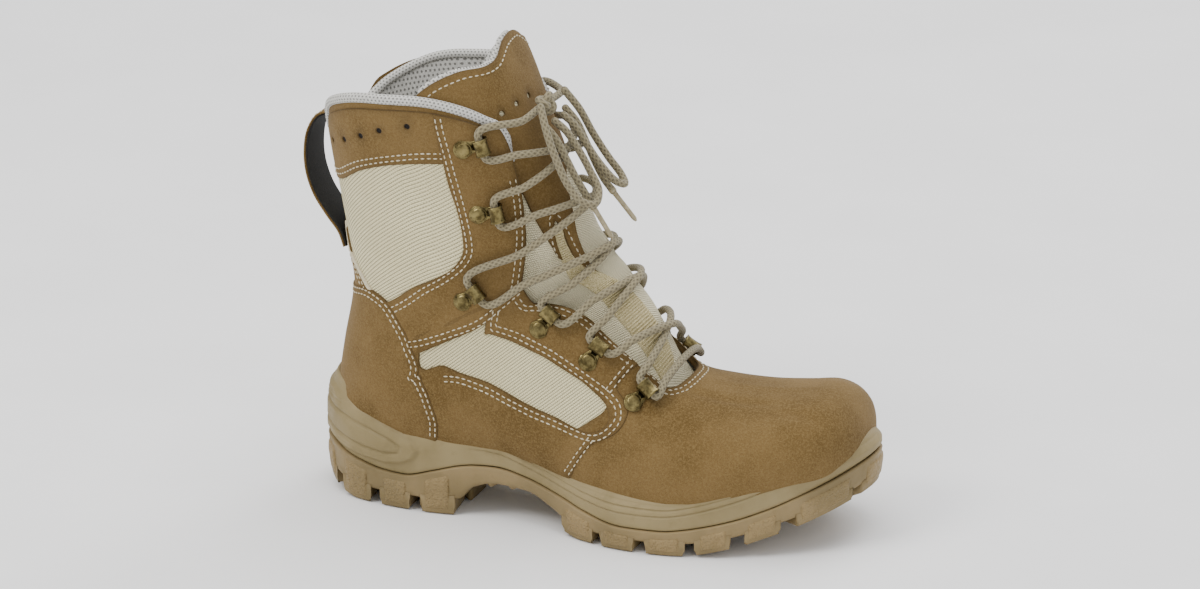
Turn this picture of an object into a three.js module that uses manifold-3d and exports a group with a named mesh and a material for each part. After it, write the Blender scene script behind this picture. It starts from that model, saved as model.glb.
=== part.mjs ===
// A right combat boot: a cupped rubber sole, a lasted leather and textile shaft, and criss-cross lacing.
// Millimetres, +Z up. X runs from the heel to the toe, and +Y is the inner (medial) side.
import * as THREE from "three";
import { mergeVertices } from "three/addons/utils/BufferGeometryUtils.js";
import Module from "manifold-3d";

const wasm = await Module();
wasm.setup();

const soleLength = 298;
const lastInset = 7; // from the edge of the sole to the outside of the upper
const wall = 2.4;
const gap = 0.35; // between pieces that meet
const insoleThickness = 4;
const tongueThickness = 6;
const laceDiameter = 4;
const loopWidth = 24;
const loopThickness = 2.2;

// The sole's edge on each side of the boot's centre line.
const outlineTable = [
  { x: 0, lateral: 0, medial: 0 },
  { x: 3.1, lateral: 15.9, medial: 17 },
  { x: 7.7, lateral: 22.7, medial: 24 },
  { x: 12.7, lateral: 28.2, medial: 29 },
  { x: 22.6, lateral: 34.4, medial: 35 },
  { x: 34, lateral: 37.6, medial: 38.2 },
  { x: 50, lateral: 40.2, medial: 40.6 },
  { x: 68, lateral: 41, medial: 40.8 },
  { x: 88, lateral: 39, medial: 39.6 },
  { x: 104, lateral: 38, medial: 38.2 },
  { x: 124, lateral: 39.6, medial: 36.6 },
  { x: 137, lateral: 42.2, medial: 37.4 },
  { x: 148, lateral: 45.8, medial: 40.8 },
  { x: 160, lateral: 50, medial: 46.4 },
  { x: 173, lateral: 53.3, medial: 52.8 },
  { x: 187, lateral: 54.4, medial: 56.6 },
  { x: 203, lateral: 53.6, medial: 59.4 },
  { x: 220, lateral: 49.9, medial: 61.2 },
  { x: 237, lateral: 45.2, medial: 61 },
  { x: 254, lateral: 37.2, medial: 58.6 },
  { x: 268, lateral: 29.4, medial: 54.9 },
  { x: 280, lateral: 19.8, medial: 49.4 },
  { x: 289, lateral: 9.2, medial: 40.2 },
  { x: 295, lateral: -1.4, medial: 29 },
  { x: soleLength, lateral: -15, medial: 15 },
];

// Heights along the sole: lug tips, the plate that the lugs hang from, the line between outsole and midsole,
// the footbed, and the midsole's top edge.
const heightTable = [
  { x: 0, tread: 9, plate: 15, parting: 29, footbed: 35.2, rim: 63 },
  { x: 8, tread: 5, plate: 12, parting: 28, footbed: 35, rim: 62 },
  { x: 20, tread: 1.2, plate: 8.6, parting: 24.5, footbed: 34.8, rim: 59 },
  { x: 30, tread: 0, plate: 7.5, parting: 22, footbed: 34.6, rim: 56.5 },
  { x: 42, tread: 0, plate: 7.5, parting: 19.8, footbed: 34.4, rim: 52 },
  { x: 55, tread: 0, plate: 7.5, parting: 19.2, footbed: 34.2, rim: 47.5 },
  { x: 72, tread: 0, plate: 7.5, parting: 23.5, footbed: 33.9, rim: 47.8 },
  { x: 86, tread: 0, plate: 9, parting: 27.4, footbed: 33.6, rim: 48.2 },
  { x: 93, tread: 13, plate: 16, parting: 28.6, footbed: 33.4, rim: 48 },
  { x: 106, tread: 17.3, plate: 19.5, parting: 29.2, footbed: 33, rim: 46 },
  { x: 124, tread: 16.3, plate: 18.5, parting: 26.2, footbed: 30.8, rim: 39.3 },
  { x: 138, tread: 9, plate: 12.5, parting: 22.3, footbed: 27.8, rim: 34.8 },
  { x: 148, tread: 1.5, plate: 8, parting: 19.6, footbed: 25.4, rim: 32.4 },
  { x: 156, tread: 0, plate: 6.2, parting: 17.2, footbed: 23.8, rim: 31 },
  { x: 182, tread: 0, plate: 6, parting: 12.6, footbed: 20.4, rim: 28.8 },
  { x: 203, tread: 0, plate: 6, parting: 12.8, footbed: 19.9, rim: 28.2 },
  { x: 212, tread: 0, plate: 6.2, parting: 13.8, footbed: 20.4, rim: 29.2 },
  { x: 238, tread: 5, plate: 10.6, parting: 19.8, footbed: 25.2, rim: 36.4 },
  { x: 255, tread: 10.6, plate: 15.8, parting: 25.6, footbed: 30.8, rim: 42.6 },
  { x: 270, tread: 16.4, plate: 21.2, parting: 32.4, footbed: 36.8, rim: 47.2 },
  { x: 283, tread: 22, plate: 26.4, parting: 38.6, footbed: 42.4, rim: 51 },
  { x: 292, tread: 26.3, plate: 30.4, parting: 43.2, footbed: 46, rim: 54 },
  { x: soleLength, tread: 29.5, plate: 33.5, parting: 46.4, footbed: 48.4, rim: 56.2 },
];

// How far the last swings towards the inner side.
const swingTable = [
  { x: 0, y: 0 },
  { x: 105, y: 0 },
  { x: 135, y: -1.6 },
  { x: 160, y: -1 },
  { x: 184, y: 1 },
  { x: 203, y: 3 },
  { x: 220, y: 5.6 },
  { x: 237, y: 8 },
  { x: 254, y: 10.6 },
  { x: 268, y: 12.8 },
  { x: 284, y: 14.6 },
  { x: soleLength, y: 15 },
];

// The last's sections, from the toe back over the instep and up the shaft. Each is a plane curve from its back point
// to its front point: on the footbed up to heelRow, and up the back of the boot after it. "widest" is where along the
// section it reaches its half width; "low" and "high" say how square it is below and above that.
const heelRow = 16;
const sectionTable = [
  { backX: 266, frontX: 291.2, frontZ: 45.6, half: 36.5, widest: 0.02, low: 2.2, high: 2.3 },
  { backX: 262.5, frontX: 291.8, frontZ: 52, half: 38.6, widest: 0.08, low: 2.3, high: 2.3 },
  { backX: 258.5, frontX: 290.6, frontZ: 60.5, half: 40.8, widest: 0.16, low: 2.4, high: 2.4 },
  { backX: 254, frontX: 287, frontZ: 68, half: 43, widest: 0.22, low: 2.4, high: 2.5 },
  { backX: 248.5, frontX: 280.4, frontZ: 73.8, half: 45.2, widest: 0.26, low: 2.4, high: 2.5 },
  { backX: 242, frontX: 270.2, frontZ: 76.4, half: 47.4, widest: 0.28, low: 2.4, high: 2.5 },
  { backX: 233, frontX: 255.6, frontZ: 75, half: 49.6, widest: 0.3, low: 2.4, high: 2.4 },
  { backX: 220, frontX: 235.5, frontZ: 74.2, half: 51.4, widest: 0.3, low: 2.4, high: 2.3 },
  { backX: 203, frontX: 214, frontZ: 76, half: 52, widest: 0.3, low: 2.4, high: 2.2 },
  { backX: 184, frontX: 197.5, frontZ: 80.5, half: 50, widest: 0.3, low: 2.4, high: 2.1 },
  { backX: 159, frontX: 189, frontZ: 92.5, half: 45, widest: 0.32, low: 2.3, high: 2 },
  { backX: 130, frontX: 182, frontZ: 105, half: 41.2, widest: 0.34, low: 2.2, high: 2 },
  { backX: 98, frontX: 175, frontZ: 116, half: 40.4, widest: 0.36, low: 2.2, high: 2 },
  { backX: 66, frontX: 168.5, frontZ: 125, half: 40.8, widest: 0.38, low: 2.2, high: 2 },
  { backX: 38, frontX: 163, frontZ: 132, half: 41, widest: 0.4, low: 2.2, high: 2 },
  { backX: 16.5, frontX: 159, frontZ: 137, half: 41, widest: 0.41, low: 2.2, high: 2 },
  { backX: 7, frontX: 155.4, frontZ: 141.6, half: 40.8, widest: 0.42, low: 2.2, high: 2 },
  { backX: 7.6, backZ: 52, frontX: 152, frontZ: 146.8, half: 40.6, widest: 0.43, low: 2.2, high: 2.05 },
  { backX: 11.8, backZ: 80, frontX: 148.4, frontZ: 153.4, half: 40, widest: 0.44, low: 2.2, high: 2.1 },
  { backX: 17.2, backZ: 110, frontX: 144.2, frontZ: 162, half: 39.6, widest: 0.45, low: 2.2, high: 2.15 },
  { backX: 14.6, backZ: 132, frontX: 139, frontZ: 173.5, half: 40.6, widest: 0.45, low: 2.2, high: 2.2 },
  { backX: 10.6, backZ: 158, frontX: 132.2, frontZ: 188.5, half: 43, widest: 0.45, low: 2.2, high: 2.3 },
  { backX: 7.4, backZ: 179, frontX: 125, frontZ: 204, half: 45.6, widest: 0.45, low: 2.2, high: 2.4 },
  { backX: 4.8, backZ: 199, frontX: 118.2, frontZ: 219, half: 48, widest: 0.45, low: 2.2, high: 2.5 },
  { backX: 2.5, backZ: 220, frontX: 112, frontZ: 233.5, half: 49.6, widest: 0.45, low: 2.2, high: 2.5 },
  { backX: 1, backZ: 238, frontX: 105.5, frontZ: 246.5, half: 50, widest: 0.45, low: 2.2, high: 2.5 },
  { backX: 0, backZ: 255, frontX: 98, frontZ: 258.5, half: 50, widest: 0.45, low: 2.2, high: 2.5 },
];

// The collar's height, as a section row, round the shaft: 0 and 1 are the back, 0.5 is the front.
const collarTable = [
  { around: 0, row: 22.95 },
  { around: 0.045, row: 22.98 },
  { around: 0.1, row: 23.82 },
  { around: 0.2, row: 24.18 },
  { around: 0.27, row: 24.05 },
  { around: 0.32, row: 23.72 },
  { around: 0.36, row: 23.25 },
  { around: 0.4, row: 22.55 },
  { around: 0.5, row: 22.3 },
  { around: 0.6, row: 22.75 },
  { around: 0.64, row: 23.35 },
  { around: 0.69, row: 23.85 },
  { around: 0.77, row: 23.9 },
  { around: 0.87, row: 23.5 },
  { around: 0.955, row: 22.98 },
  { around: 1, row: 22.95 },
];

// Half of the throat's opening, as a share of the way round, from its rounded lower end to the collar.
const throatTable = [
  { row: 8.85, half: 0.002 },
  { row: 8.95, half: 0.07 },
  { row: 9.2, half: 0.108 },
  { row: 9.9, half: 0.128 },
  { row: 11, half: 0.143 },
  { row: 13, half: 0.137 },
  { row: 15.3, half: 0.143 },
  { row: 17.4, half: 0.157 },
  { row: 19, half: 0.143 },
  { row: 20.5, half: 0.127 },
  { row: 22, half: 0.114 },
  { row: 24, half: 0.104 },
  { row: 26, half: 0.1 },
];

// The tongue: its half width as a share of the way round, how far it swells through the throat, and its thickness.
const tongueTable = [
  { row: 7.8, half: 0.1, swell: -2.8, thick: 0.4 },
  { row: 9, half: 0.15, swell: -1, thick: 0.7 },
  { row: 10.5, half: 0.18, swell: 4.4, thick: 1 },
  { row: 13, half: 0.185, swell: 5.6, thick: 1 },
  { row: 16, half: 0.195, swell: 5.4, thick: 1 },
  { row: 18.5, half: 0.2, swell: 3.8, thick: 1 },
  { row: 21, half: 0.19, swell: 1.2, thick: 1 },
  { row: 23, half: 0.2, swell: 0, thick: 1 },
  { row: 26, half: 0.22, swell: 0, thick: 0.9 },
];
const tongueTop = { middle: 25.7, side: 23.9 };

// Lace hooks and eyelets from the top down: where each rivet sits, and where its ring is.
const hardwareTable = [
  { name: "hook_top", row: 22.4, around: 0.314, ringRow: 22.45, ringAround: 0.342, open: true },
  { name: "hook_middle", row: 20.43, around: 0.306, ringRow: 20.4, ringAround: 0.332, open: true },
  { name: "hook_ankle", row: 17.9, around: 0.272, ringRow: 18.05, ringAround: 0.292, open: true },
  { name: "eyelet_top", row: 14.2, around: 0.314, ringRow: 14.5, ringAround: 0.342, open: false },
  { name: "eyelet_middle", row: 11.9, around: 0.3, ringRow: 12, ringAround: 0.332, open: false },
  { name: "eyelet_bottom", row: 10, around: 0.284, ringRow: 9.85, ringAround: 0.322, open: false },
];
const hardware = {
  rivetRadius: 4.3,
  rivetHeight: 2.2,
  plateWidth: 8.4,
  plateThickness: 1,
  ringReach: 9.4,
  ringInner: 2.5,
  ringOuter: 3.4,
  ringLength: 7.6,
};

// Main lugs: centre, length along the axis, width at its start and end, and the axis's turn in degrees.
const lugTable = [
  { x: 280, y: 15, long: 42, wide: 11, end: 40, turn: 12 },
  { x: 264, y: 42.3, long: 50, wide: 3, end: 62, turn: 73 },
  { x: 273, y: -15, long: 34, wide: 13, end: 36, turn: -33 },
  { x: 250.9, y: 6, long: 18, wide: 12.5, end: 12.5, turn: -48 },
  { x: 233.8, y: 6.5, long: 21, wide: 7, end: 10, turn: -70 },
  { x: 246.4, y: -24, long: 37, wide: 9.4, end: 18, turn: -64 },
  { x: 226.3, y: -37.4, long: 32, wide: 16.5, end: 17.5, turn: -74 },
  { x: 203.6, y: -45.2, long: 28, wide: 14, end: 21, turn: -81 },
  { x: 179.5, y: -42, long: 34, wide: 16.3, end: 17.8, turn: -94 },
  { x: 156.2, y: -41.6, long: 28, wide: 14.5, end: 20, turn: -103 },
  { x: 228.2, y: 47.8, long: 36, wide: 15, end: 20.5, turn: 99 },
  { x: 227, y: 25.5, long: 14, wide: 15, end: 8, turn: -120 },
  { x: 202.5, y: 46.8, long: 34, wide: 15, end: 21, turn: 107 },
  { x: 178.4, y: 44.7, long: 30, wide: 17, end: 17, turn: 118 },
  { x: 157.2, y: 34, long: 28, wide: 16, end: 17, turn: 121 },
  { x: 222.5, y: -6.8, long: 23, wide: 9, end: 14, turn: -97 },
  { x: 206.5, y: 8, long: 30, wide: 12, end: 9.5, turn: -100 },
  { x: 200.5, y: -20, long: 17, wide: 7, end: 11, turn: -62 },
  { x: 188.5, y: 19, long: 16, wide: 10.5, end: 8.5, turn: -95 },
  { x: 182, y: -8, long: 27, wide: 12, end: 13, turn: -100 },
  { x: 165.5, y: 9.5, long: 25, wide: 11, end: 8, turn: -155 },
  { x: 160.6, y: -15.5, long: 20, wide: 6, end: 12, turn: -95 },
  { x: 76, y: 28, long: 32, wide: 12, end: 13.5, turn: 89 },
  { x: 79, y: -7, long: 11, wide: 3, end: 23, turn: 0 },
  { x: 75, y: -31, long: 30, wide: 10, end: 18.5, turn: -92 },
  { x: 63.7, y: -3, long: 24, wide: 8, end: 8, turn: -127 },
  { x: 57.5, y: 33, long: 26, wide: 14, end: 16, turn: 92 },
  { x: 53.8, y: 11.5, long: 19, wide: 8, end: 9.5, turn: -113 },
  { x: 44.5, y: -8.3, long: 9, wide: 11, end: 5, turn: 180 },
  { x: 49.5, y: -31, long: 27, wide: 16.5, end: 16, turn: -88 },
  { x: 26.5, y: -27, long: 31, wide: 9, end: 20, turn: -98 },
  { x: 26.5, y: 27, long: 31, wide: 9, end: 20, turn: 98 },
  { x: 9.6, y: -18, long: 24, wide: 9, end: 17, turn: -139 },
  { x: 9.6, y: 18, long: 24, wide: 9, end: 17, turn: 139 },
  { x: 5, y: 0, long: 15, wide: 11, end: 17, turn: 180 },
];
const archRibs = { count: 4, first: 104, pitch: 11.6, inner: 21, outer: 35, width: 3.3, lean: 18 };
const lugSink = 1.5; // how deep a lug runs up into the plate

// The bow: its knot, and the centre lines of its two loops and two ends, over the last.
const laceLift = 5.4; // of the laces' centre lines over the last
const knot = { row: 23, around: 0.486, out: 6, radius: 4.6, wide: 1.35 };
const aglet = { length: 19, diameter: 2.6 };
const bowRoutes = {
  loop_near: [
    { row: 23.05, around: 0.454, out: 10.4 },
    { row: 22.3, around: 0.441, out: 12.5 },
    { row: 21.35, around: 0.438, out: 12.5 },
    { row: 20.5, around: 0.441, out: 12.5 },
    { row: 19.85, around: 0.45, out: 13.6 },
    { row: 19.55, around: 0.466, out: 14.8 },
    { row: 19.85, around: 0.482, out: 14.8 },
    { row: 20.6, around: 0.489, out: 13 },
    { row: 21.4, around: 0.487, out: 12 },
    { row: 22.05, around: 0.481, out: 11 },
    { row: 22.4, around: 0.476, out: 9 },
  ],
  loop_far: [
    { row: 23.05, around: 0.52, out: 10.4 },
    { row: 22.3, around: 0.535, out: 12.5 },
    { row: 21.35, around: 0.552, out: 14 },
    { row: 20.5, around: 0.558, out: 17.5 },
    { row: 19.85, around: 0.556, out: 20.5 },
    { row: 19.5, around: 0.544, out: 20.5 },
    { row: 19.75, around: 0.53, out: 17.5 },
    { row: 20.5, around: 0.52, out: 14 },
    { row: 21.3, around: 0.512, out: 12 },
    { row: 22.05, around: 0.504, out: 11 },
    { row: 22.4, around: 0.5, out: 9 },
  ],
  end_near: [
    { row: 22.42, around: 0.456, out: 7.4 },
    { row: 22, around: 0.458, out: 9.8 },
    { row: 21.3, around: 0.462, out: 9.9 },
    { row: 20.6, around: 0.465, out: 9.9 },
    { row: 19.95, around: 0.47, out: 10 },
    { row: 19.4, around: 0.473, out: 10.4 },
  ],
  end_far: [
    { row: 22.5, around: 0.52, out: 7.4 },
    { row: 22, around: 0.525, out: 9.8 },
    { row: 21.3, around: 0.533, out: 9.9 },
    { row: 20.6, around: 0.538, out: 10.2 },
    { row: 19.95, around: 0.54, out: 11.4 },
    { row: 19.4, around: 0.54, out: 13.4 },
  ],
};

// A column of a table at a place along it. "even" keeps flat stretches exactly flat.
function along(table, key, column, at, even = false) {
  let i = 1;
  while (i < table.length - 1 && table[i][key] < at) i++;
  const slope = (a, b) => (b[column] - a[column]) / (b[key] - a[key]);
  const [a, b] = [table[i - 1], table[i]];
  const middle = slope(a, b);
  const before = i > 1 ? slope(table[i - 2], a) : middle;
  const after = i < table.length - 1 ? slope(b, table[i + 1]) : middle;
  const meet = (p, q) => (!even ? (p + q) / 2 : p * q <= 0 ? 0 : (2 * p * q) / (p + q));
  const span = b[key] - a[key];
  const t = (at - a[key]) / span;
  const [start, finish] = [meet(before, middle) * span, meet(middle, after) * span];
  return (
    (2 * t ** 3 - 3 * t ** 2 + 1) * a[column] +
    (t ** 3 - 2 * t ** 2 + t) * start +
    (3 * t ** 2 - 2 * t ** 3) * b[column] +
    (t ** 3 - t ** 2) * finish
  );
}

const height = (x, column) => along(heightTable, "x", column, THREE.MathUtils.clamp(x, 0, soleLength), true);
const swing = (x) => along(swingTable, "x", "y", THREE.MathUtils.clamp(x, 0, soleLength), true);

// The sole's edge as a closed loop of points: from the heel along the outer side to the toe, and back.
// The table is read by angle, so that heel and toe come out round.
const outlineByAngle = outlineTable.map((r) => ({
  angle: Math.acos(1 - (2 * r.x) / soleLength),
  middle: (r.medial - r.lateral) / 2,
  half: (r.medial + r.lateral) / 2,
}));
{
  const [first, last] = [outlineByAngle[1], outlineByAngle.at(-2)];
  outlineByAngle.unshift({ angle: -first.angle, middle: first.middle, half: -first.half });
  outlineByAngle.push({ angle: 2 * Math.PI - last.angle, middle: last.middle, half: -last.half });
}
function outline(count, inset = 0) {
  const loop = [];
  for (let i = 0; i < count; i++) {
    const turn = (2 * Math.PI * i) / count;
    const angle = Math.min(turn, 2 * Math.PI - turn);
    const side = turn <= Math.PI ? -1 : 1;
    const middle = along(outlineByAngle, "angle", "middle", angle);
    const half = along(outlineByAngle, "angle", "half", angle);
    loop.push(new THREE.Vector2((soleLength * (1 - Math.cos(angle))) / 2, middle + side * half));
  }
  return loop.map((p, i) => {
    const way = loop[(i + 1) % count].clone().sub(loop[(i + count - 1) % count]).normalize();
    return new THREE.Vector2(p.x - inset * way.y, p.y + inset * way.x);
  });
}

// The outside of the upper's lower edge, as half widths to either side of the centre line.
const footCurve = outline(480, lastInset);
function footHalf(x, side) {
  const points = side < 0 ? footCurve.slice(0, 241) : [footCurve[0], ...footCurve.slice(240).reverse()];
  for (let i = 1; i < points.length; i++) {
    const [a, b] = [points[i - 1], points[i]];
    if (a.x <= x && x <= b.x) {
      const y = THREE.MathUtils.mapLinear(x, a.x, b.x, a.y, b.y);
      return Math.max(0, side * (y - swing(x)));
    }
  }
  return 0;
}

for (const r of sectionTable) r.backZ ??= height(r.backX, "footbed");
sectionTable.forEach((r, i) => (r.row = i));
const section = (row, column) => along(sectionTable, "row", column, row);
const backHeight = (row) => (row < heelRow ? height(section(row, "backX"), "footbed") : section(row, "backZ"));

// A point of the last: row along it, and around from 0 (outer lower edge, or the back) over 0.5 (top, or the front)
// to 1 (inner lower edge, or the back).
function lastPoint(row, around) {
  const side = around <= 0.5 ? -1 : 1;
  const up = 1 - Math.abs(2 * around - 1);
  const [backX, backZ] = [section(row, "backX"), backHeight(row)];
  const [frontX, frontZ] = [section(row, "frontX"), section(row, "frontZ")];
  const [half, widest] = [section(row, "half"), section(row, "widest")];
  const [low, high] = [2 / section(row, "low"), 2 / section(row, "high")];
  const foot = row >= heelRow ? 0 : Math.min(footHalf(backX, side), half);
  const length = Math.hypot(frontX - backX, frontZ - backZ);
  const lowArc = 0.9 * widest * length + 0.6 * (half - foot);
  const highArc = 0.76 * ((1 - widest) * length + half);
  const split = lowArc / (lowArc + highArc);
  let reach, rise;
  if (up < split) {
    const limit = Math.acos(Math.min(foot / half, 0.9995) ** (1 / low));
    const angle = (1 - up / split) * limit;
    reach = half * Math.cos(angle) ** low;
    rise = widest * (1 - (Math.sin(angle) / Math.sin(limit)) ** low);
  } else {
    const angle = (((up - split) / (1 - split)) * Math.PI) / 2;
    reach = half * Math.max(0, Math.cos(angle)) ** high;
    rise = widest + (1 - widest) * Math.sin(angle) ** high;
  }
  const x = backX + rise * (frontX - backX);
  return new THREE.Vector3(x, swing(x) + side * reach, backZ + rise * (frontZ - backZ));
}

function lastNormal(row, around) {
  const step = 1e-3;
  const [a, b] = [Math.max(around - step, 0), Math.min(around + step, 1)];
  const ahead = lastPoint(row + step, around).sub(lastPoint(row - step, around));
  const across = lastPoint(row, b).sub(lastPoint(row, a));
  const out = across.cross(ahead);
  if (row === 0 || (row <= heelRow && (around === 0 || around === 1))) out.z = 0; // level along the lower edge
  return out.normalize();
}

const lastOffset = (row, around, out) => lastPoint(row, around).addScaledVector(lastNormal(row, around), out);

// Solids -------------------------------------------------------------------------------------------------------

function solidFrom(points, faces) {
  const geometry = new THREE.BufferGeometry();
  geometry.setAttribute("position", new THREE.Float32BufferAttribute(points.flatMap((p) => [p.x, p.y, p.z]), 3));
  geometry.setIndex(faces.flat());
  return solidOf(geometry);
}

function solidOf(geometry) {
  const bare = geometry.clone();
  bare.deleteAttribute("normal");
  bare.deleteAttribute("uv");
  const merged = mergeVertices(bare, 1e-4);
  const index = merged.index.array;
  const triVerts = [];
  for (let i = 0; i < index.length; i += 3) {
    const [a, b, c] = [index[i], index[i + 1], index[i + 2]];
    if (a !== b && b !== c && c !== a) triVerts.push(a, b, c);
  }
  const made = new wasm.Manifold(
    new wasm.Mesh({
      numProp: 3,
      vertProperties: new Float32Array(merged.attributes.position.array),
      triVerts: new Uint32Array(triVerts),
    }),
  );
  return made;
}

const joined = (solids) => solids.reduce((whole, next) => whole.add(next));

// A grid of points as quads: rows of points, each as long as the others.
function gridFaces(rows, columns, start = 0, flip = false) {
  const faces = [];
  for (let i = 0; i + 1 < rows; i++) {
    for (let j = 0; j + 1 < columns; j++) {
      const [a, b] = [start + i * columns + j, start + i * columns + j + 1];
      const [c, d] = [b + columns, a + columns];
      faces.push(flip ? [a, c, b, a, d, c] : [a, b, c, a, c, d]);
    }
  }
  return faces;
}

// A closed sheet with thickness: outside(i, j) and inside(i, j) are its two faces, joined round the edge.
function sheet(rows, columns, outside, inside) {
  const points = [];
  for (const face of [outside, inside]) {
    for (let i = 0; i < rows; i++) for (let j = 0; j < columns; j++) points.push(face(i, j));
  }
  const below = rows * columns;
  const faces = [...gridFaces(rows, columns, 0), ...gridFaces(rows, columns, below, true)];
  const edge = [];
  for (let j = 0; j < columns - 1; j++) edge.push(j);
  for (let i = 0; i < rows - 1; i++) edge.push(i * columns + columns - 1);
  for (let j = columns - 1; j > 0; j--) edge.push((rows - 1) * columns + j);
  for (let i = rows - 1; i > 0; i--) edge.push(i * columns);
  edge.forEach((a, k) => {
    const b = edge[(k + 1) % edge.length];
    faces.push([a, a + below, b + below, a, b + below, b]);
  });
  return solidFrom(points, faces);
}

// A closed solid through loops of equally many points; the ends are closed by a fan, or by strips from side to side.
function stack(loops, strips = false) {
  const count = loops[0].length;
  const points = loops.flat();
  const faces = [];
  for (let k = 0; k + 1 < loops.length; k++) {
    for (let i = 0; i < count; i++) {
      const [a, b] = [k * count + i, k * count + ((i + 1) % count)];
      faces.push([a, b, b + count, a, b + count, a + count]);
    }
  }
  for (const [start, flip] of [
    [0, true],
    [(loops.length - 1) * count, false],
  ]) {
    const face = (a, b, c) => faces.push(flip ? [a, c, b] : [a, b, c]);
    if (!strips) {
      for (let i = 1; i + 1 < count; i++) face(start, start + i, start + i + 1);
      continue;
    }
    for (let i = 0; i < count / 2; i++) {
      const [a, b] = [start + i, start + i + 1];
      const [c, d] = [start + ((count - i - 1) % count), start + ((count - i) % count)];
      if (b !== c) face(a, b, c);
      if (a !== d) face(a, c, d);
    }
  }
  return solidFrom(points, faces);
}

// The upper's mesh follows the sections up to straightRow, and then bends up to the collar's curve.
const toeLines = [0, 0.5, 1.2, 2.1, 3.1, 4.2, 5.3, 6.5, 7.7, 8.9];
const heelLines = [10.1, 11.3, 12.5, 13.7, 14.7, 15.4, 15.8, 15.95];
const shaftLines = [16, 16.7, 17.6, 18.5, 19.3, 20, 21, 22, 23, 24];
const upperLines = [...toeLines, ...heelLines, ...shaftLines];
const upperRows = upperLines.length;
const upperColumns = 27;
const straightRow = 20;
const topRow = 24;
const heelLine = upperLines.indexOf(heelRow); // the first line of the mesh that closes behind the heel
function upperRowAt(i, around) {
  const row = upperLines[i];
  const top = along(collarTable, "around", "row", around, true);
  return row <= straightRow ? row : THREE.MathUtils.mapLinear(row, straightRow, topRow, straightRow, top);
}

function closeBack(line) {
  line[0].y = 0;
  line[line.length - 1].copy(line[0]);
}

// Sole ---------------------------------------------------------------------------------------------------------

const soleSides = 64;
function soleRing(inset, z) {
  return outline(soleSides, inset).map((p) => new THREE.Vector3(p.x, p.y, z(THREE.MathUtils.clamp(p.x, 0, soleLength))));
}
// Under the footbed the outsole stays low enough to leave the midsole some thickness.
const seatZ = (x) => Math.min(height(x, "parting"), height(x, "footbed") - 5);

function lug({ x, y, long, wide, end, turn }, top = 40) {
  const shape = new THREE.Shape([
    new THREE.Vector2(-long / 2, -wide / 2),
    new THREE.Vector2(long / 2, -end / 2),
    new THREE.Vector2(long / 2, end / 2),
    new THREE.Vector2(-long / 2, wide / 2),
  ]);
  const geometry = new THREE.ExtrudeGeometry(shape, { depth: top + 2, bevelEnabled: false });
  geometry.rotateZ(THREE.MathUtils.degToRad(turn)).translate(x, y, -2);
  return solidOf(geometry);
}

function outsoleSolid() {
  const plate = stack(
    [
      soleRing(3.4, (x) => height(x, "plate")),
      soleRing(0.8, (x) => height(x, "plate") + 1.2),
      soleRing(0, (x) => height(x, "parting") - 3),
      soleRing(1.1, (x) => height(x, "parting")),
      soleRing(6.2, (x) => seatZ(x) - gap),
    ],
    true,
  );
  const treadSpace = stack(
    [
      soleRing(2.2, (x) => height(x, "tread")),
      soleRing(0.9, (x) => height(x, "tread") + 3),
      soleRing(0.6, (x) => height(x, "plate") + lugSink),
    ],
    true,
  );
  const ribs = [];
  for (let i = 0; i < archRibs.count; i++) {
    for (const side of [-1, 1]) {
      const { first, pitch, inner, outer, width, lean } = archRibs;
      const y = side * ((inner + outer) / 2) - (side < 0 ? -1 : 1) * 1.5;
      ribs.push({ x: first + i * pitch, y, long: outer - inner, wide: width, end: width, turn: side * (90 + lean) });
    }
  }
  const lugs = joined([...lugTable, ...ribs].map((r) => lug(r)));
  return plate.add(lugs.intersect(treadSpace));
}

// The space the upper fills, a little larger, closed underneath by the footbed and above the heel.
function lastBody(out, drop) {
  const rows = upperLines.indexOf(straightRow) + 1;
  const columns = upperColumns;
  const points = [];
  for (let i = 0; i < rows; i++) {
    const line = [];
    for (let j = 0; j < columns; j++) {
      const p = lastOffset(upperLines[i], j / (columns - 1), out);
      if (i <= heelLine && (i === 0 || j === 0 || j === columns - 1)) p.z -= drop;
      line.push(p);
    }
    if (i >= heelLine) closeBack(line);
    points.push(...line);
  }
  const faces = gridFaces(rows, columns);
  for (let i = 0; i < heelLine; i++) {
    const [a, b] = [i * columns, (i + 1) * columns];
    const [c, d] = [b + columns - 1, a + columns - 1];
    faces.push([a, b, c, a, c, d]);
  }
  const across = (start, flip) => {
    for (let j = 0; j < (columns - 1) / 2; j++) {
      const [a, b, c, d] = [start + j, start + j + 1, start + columns - 2 - j, start + columns - 1 - j];
      if (b !== c) faces.push(flip ? [a, c, b] : [a, b, c]);
      faces.push(flip ? [a, d, c] : [a, c, d]);
    }
  };
  across(0, true);
  across((rows - 1) * columns, false);
  return solidFrom(points, faces);
}

function midsoleSolid() {
  const between = (share) => (x) => THREE.MathUtils.lerp(height(x, "parting") + 2 * gap, height(x, "rim"), share);
  const cup = stack(
    [
      soleRing(6.4, (x) => seatZ(x) + gap),
      soleRing(1.7, between(0)),
      soleRing(1, between(0.22)),
      soleRing(1.1, between(0.5)),
      soleRing(2.2, between(0.76)),
      soleRing(3.9, between(0.94)),
      soleRing(5.2, between(1)),
    ],
    true,
  );
  return cup.subtract(lastBody(gap + 0.3, gap));
}

function insoleSolid() {
  const inset = lastInset + wall + 2.4;
  const rings = [0.9, insoleThickness].map((up) => soleRing(inset, (x) => height(x, "footbed") + up));
  return stack(rings, true);
}

// Upper --------------------------------------------------------------------------------------------------------


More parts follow.
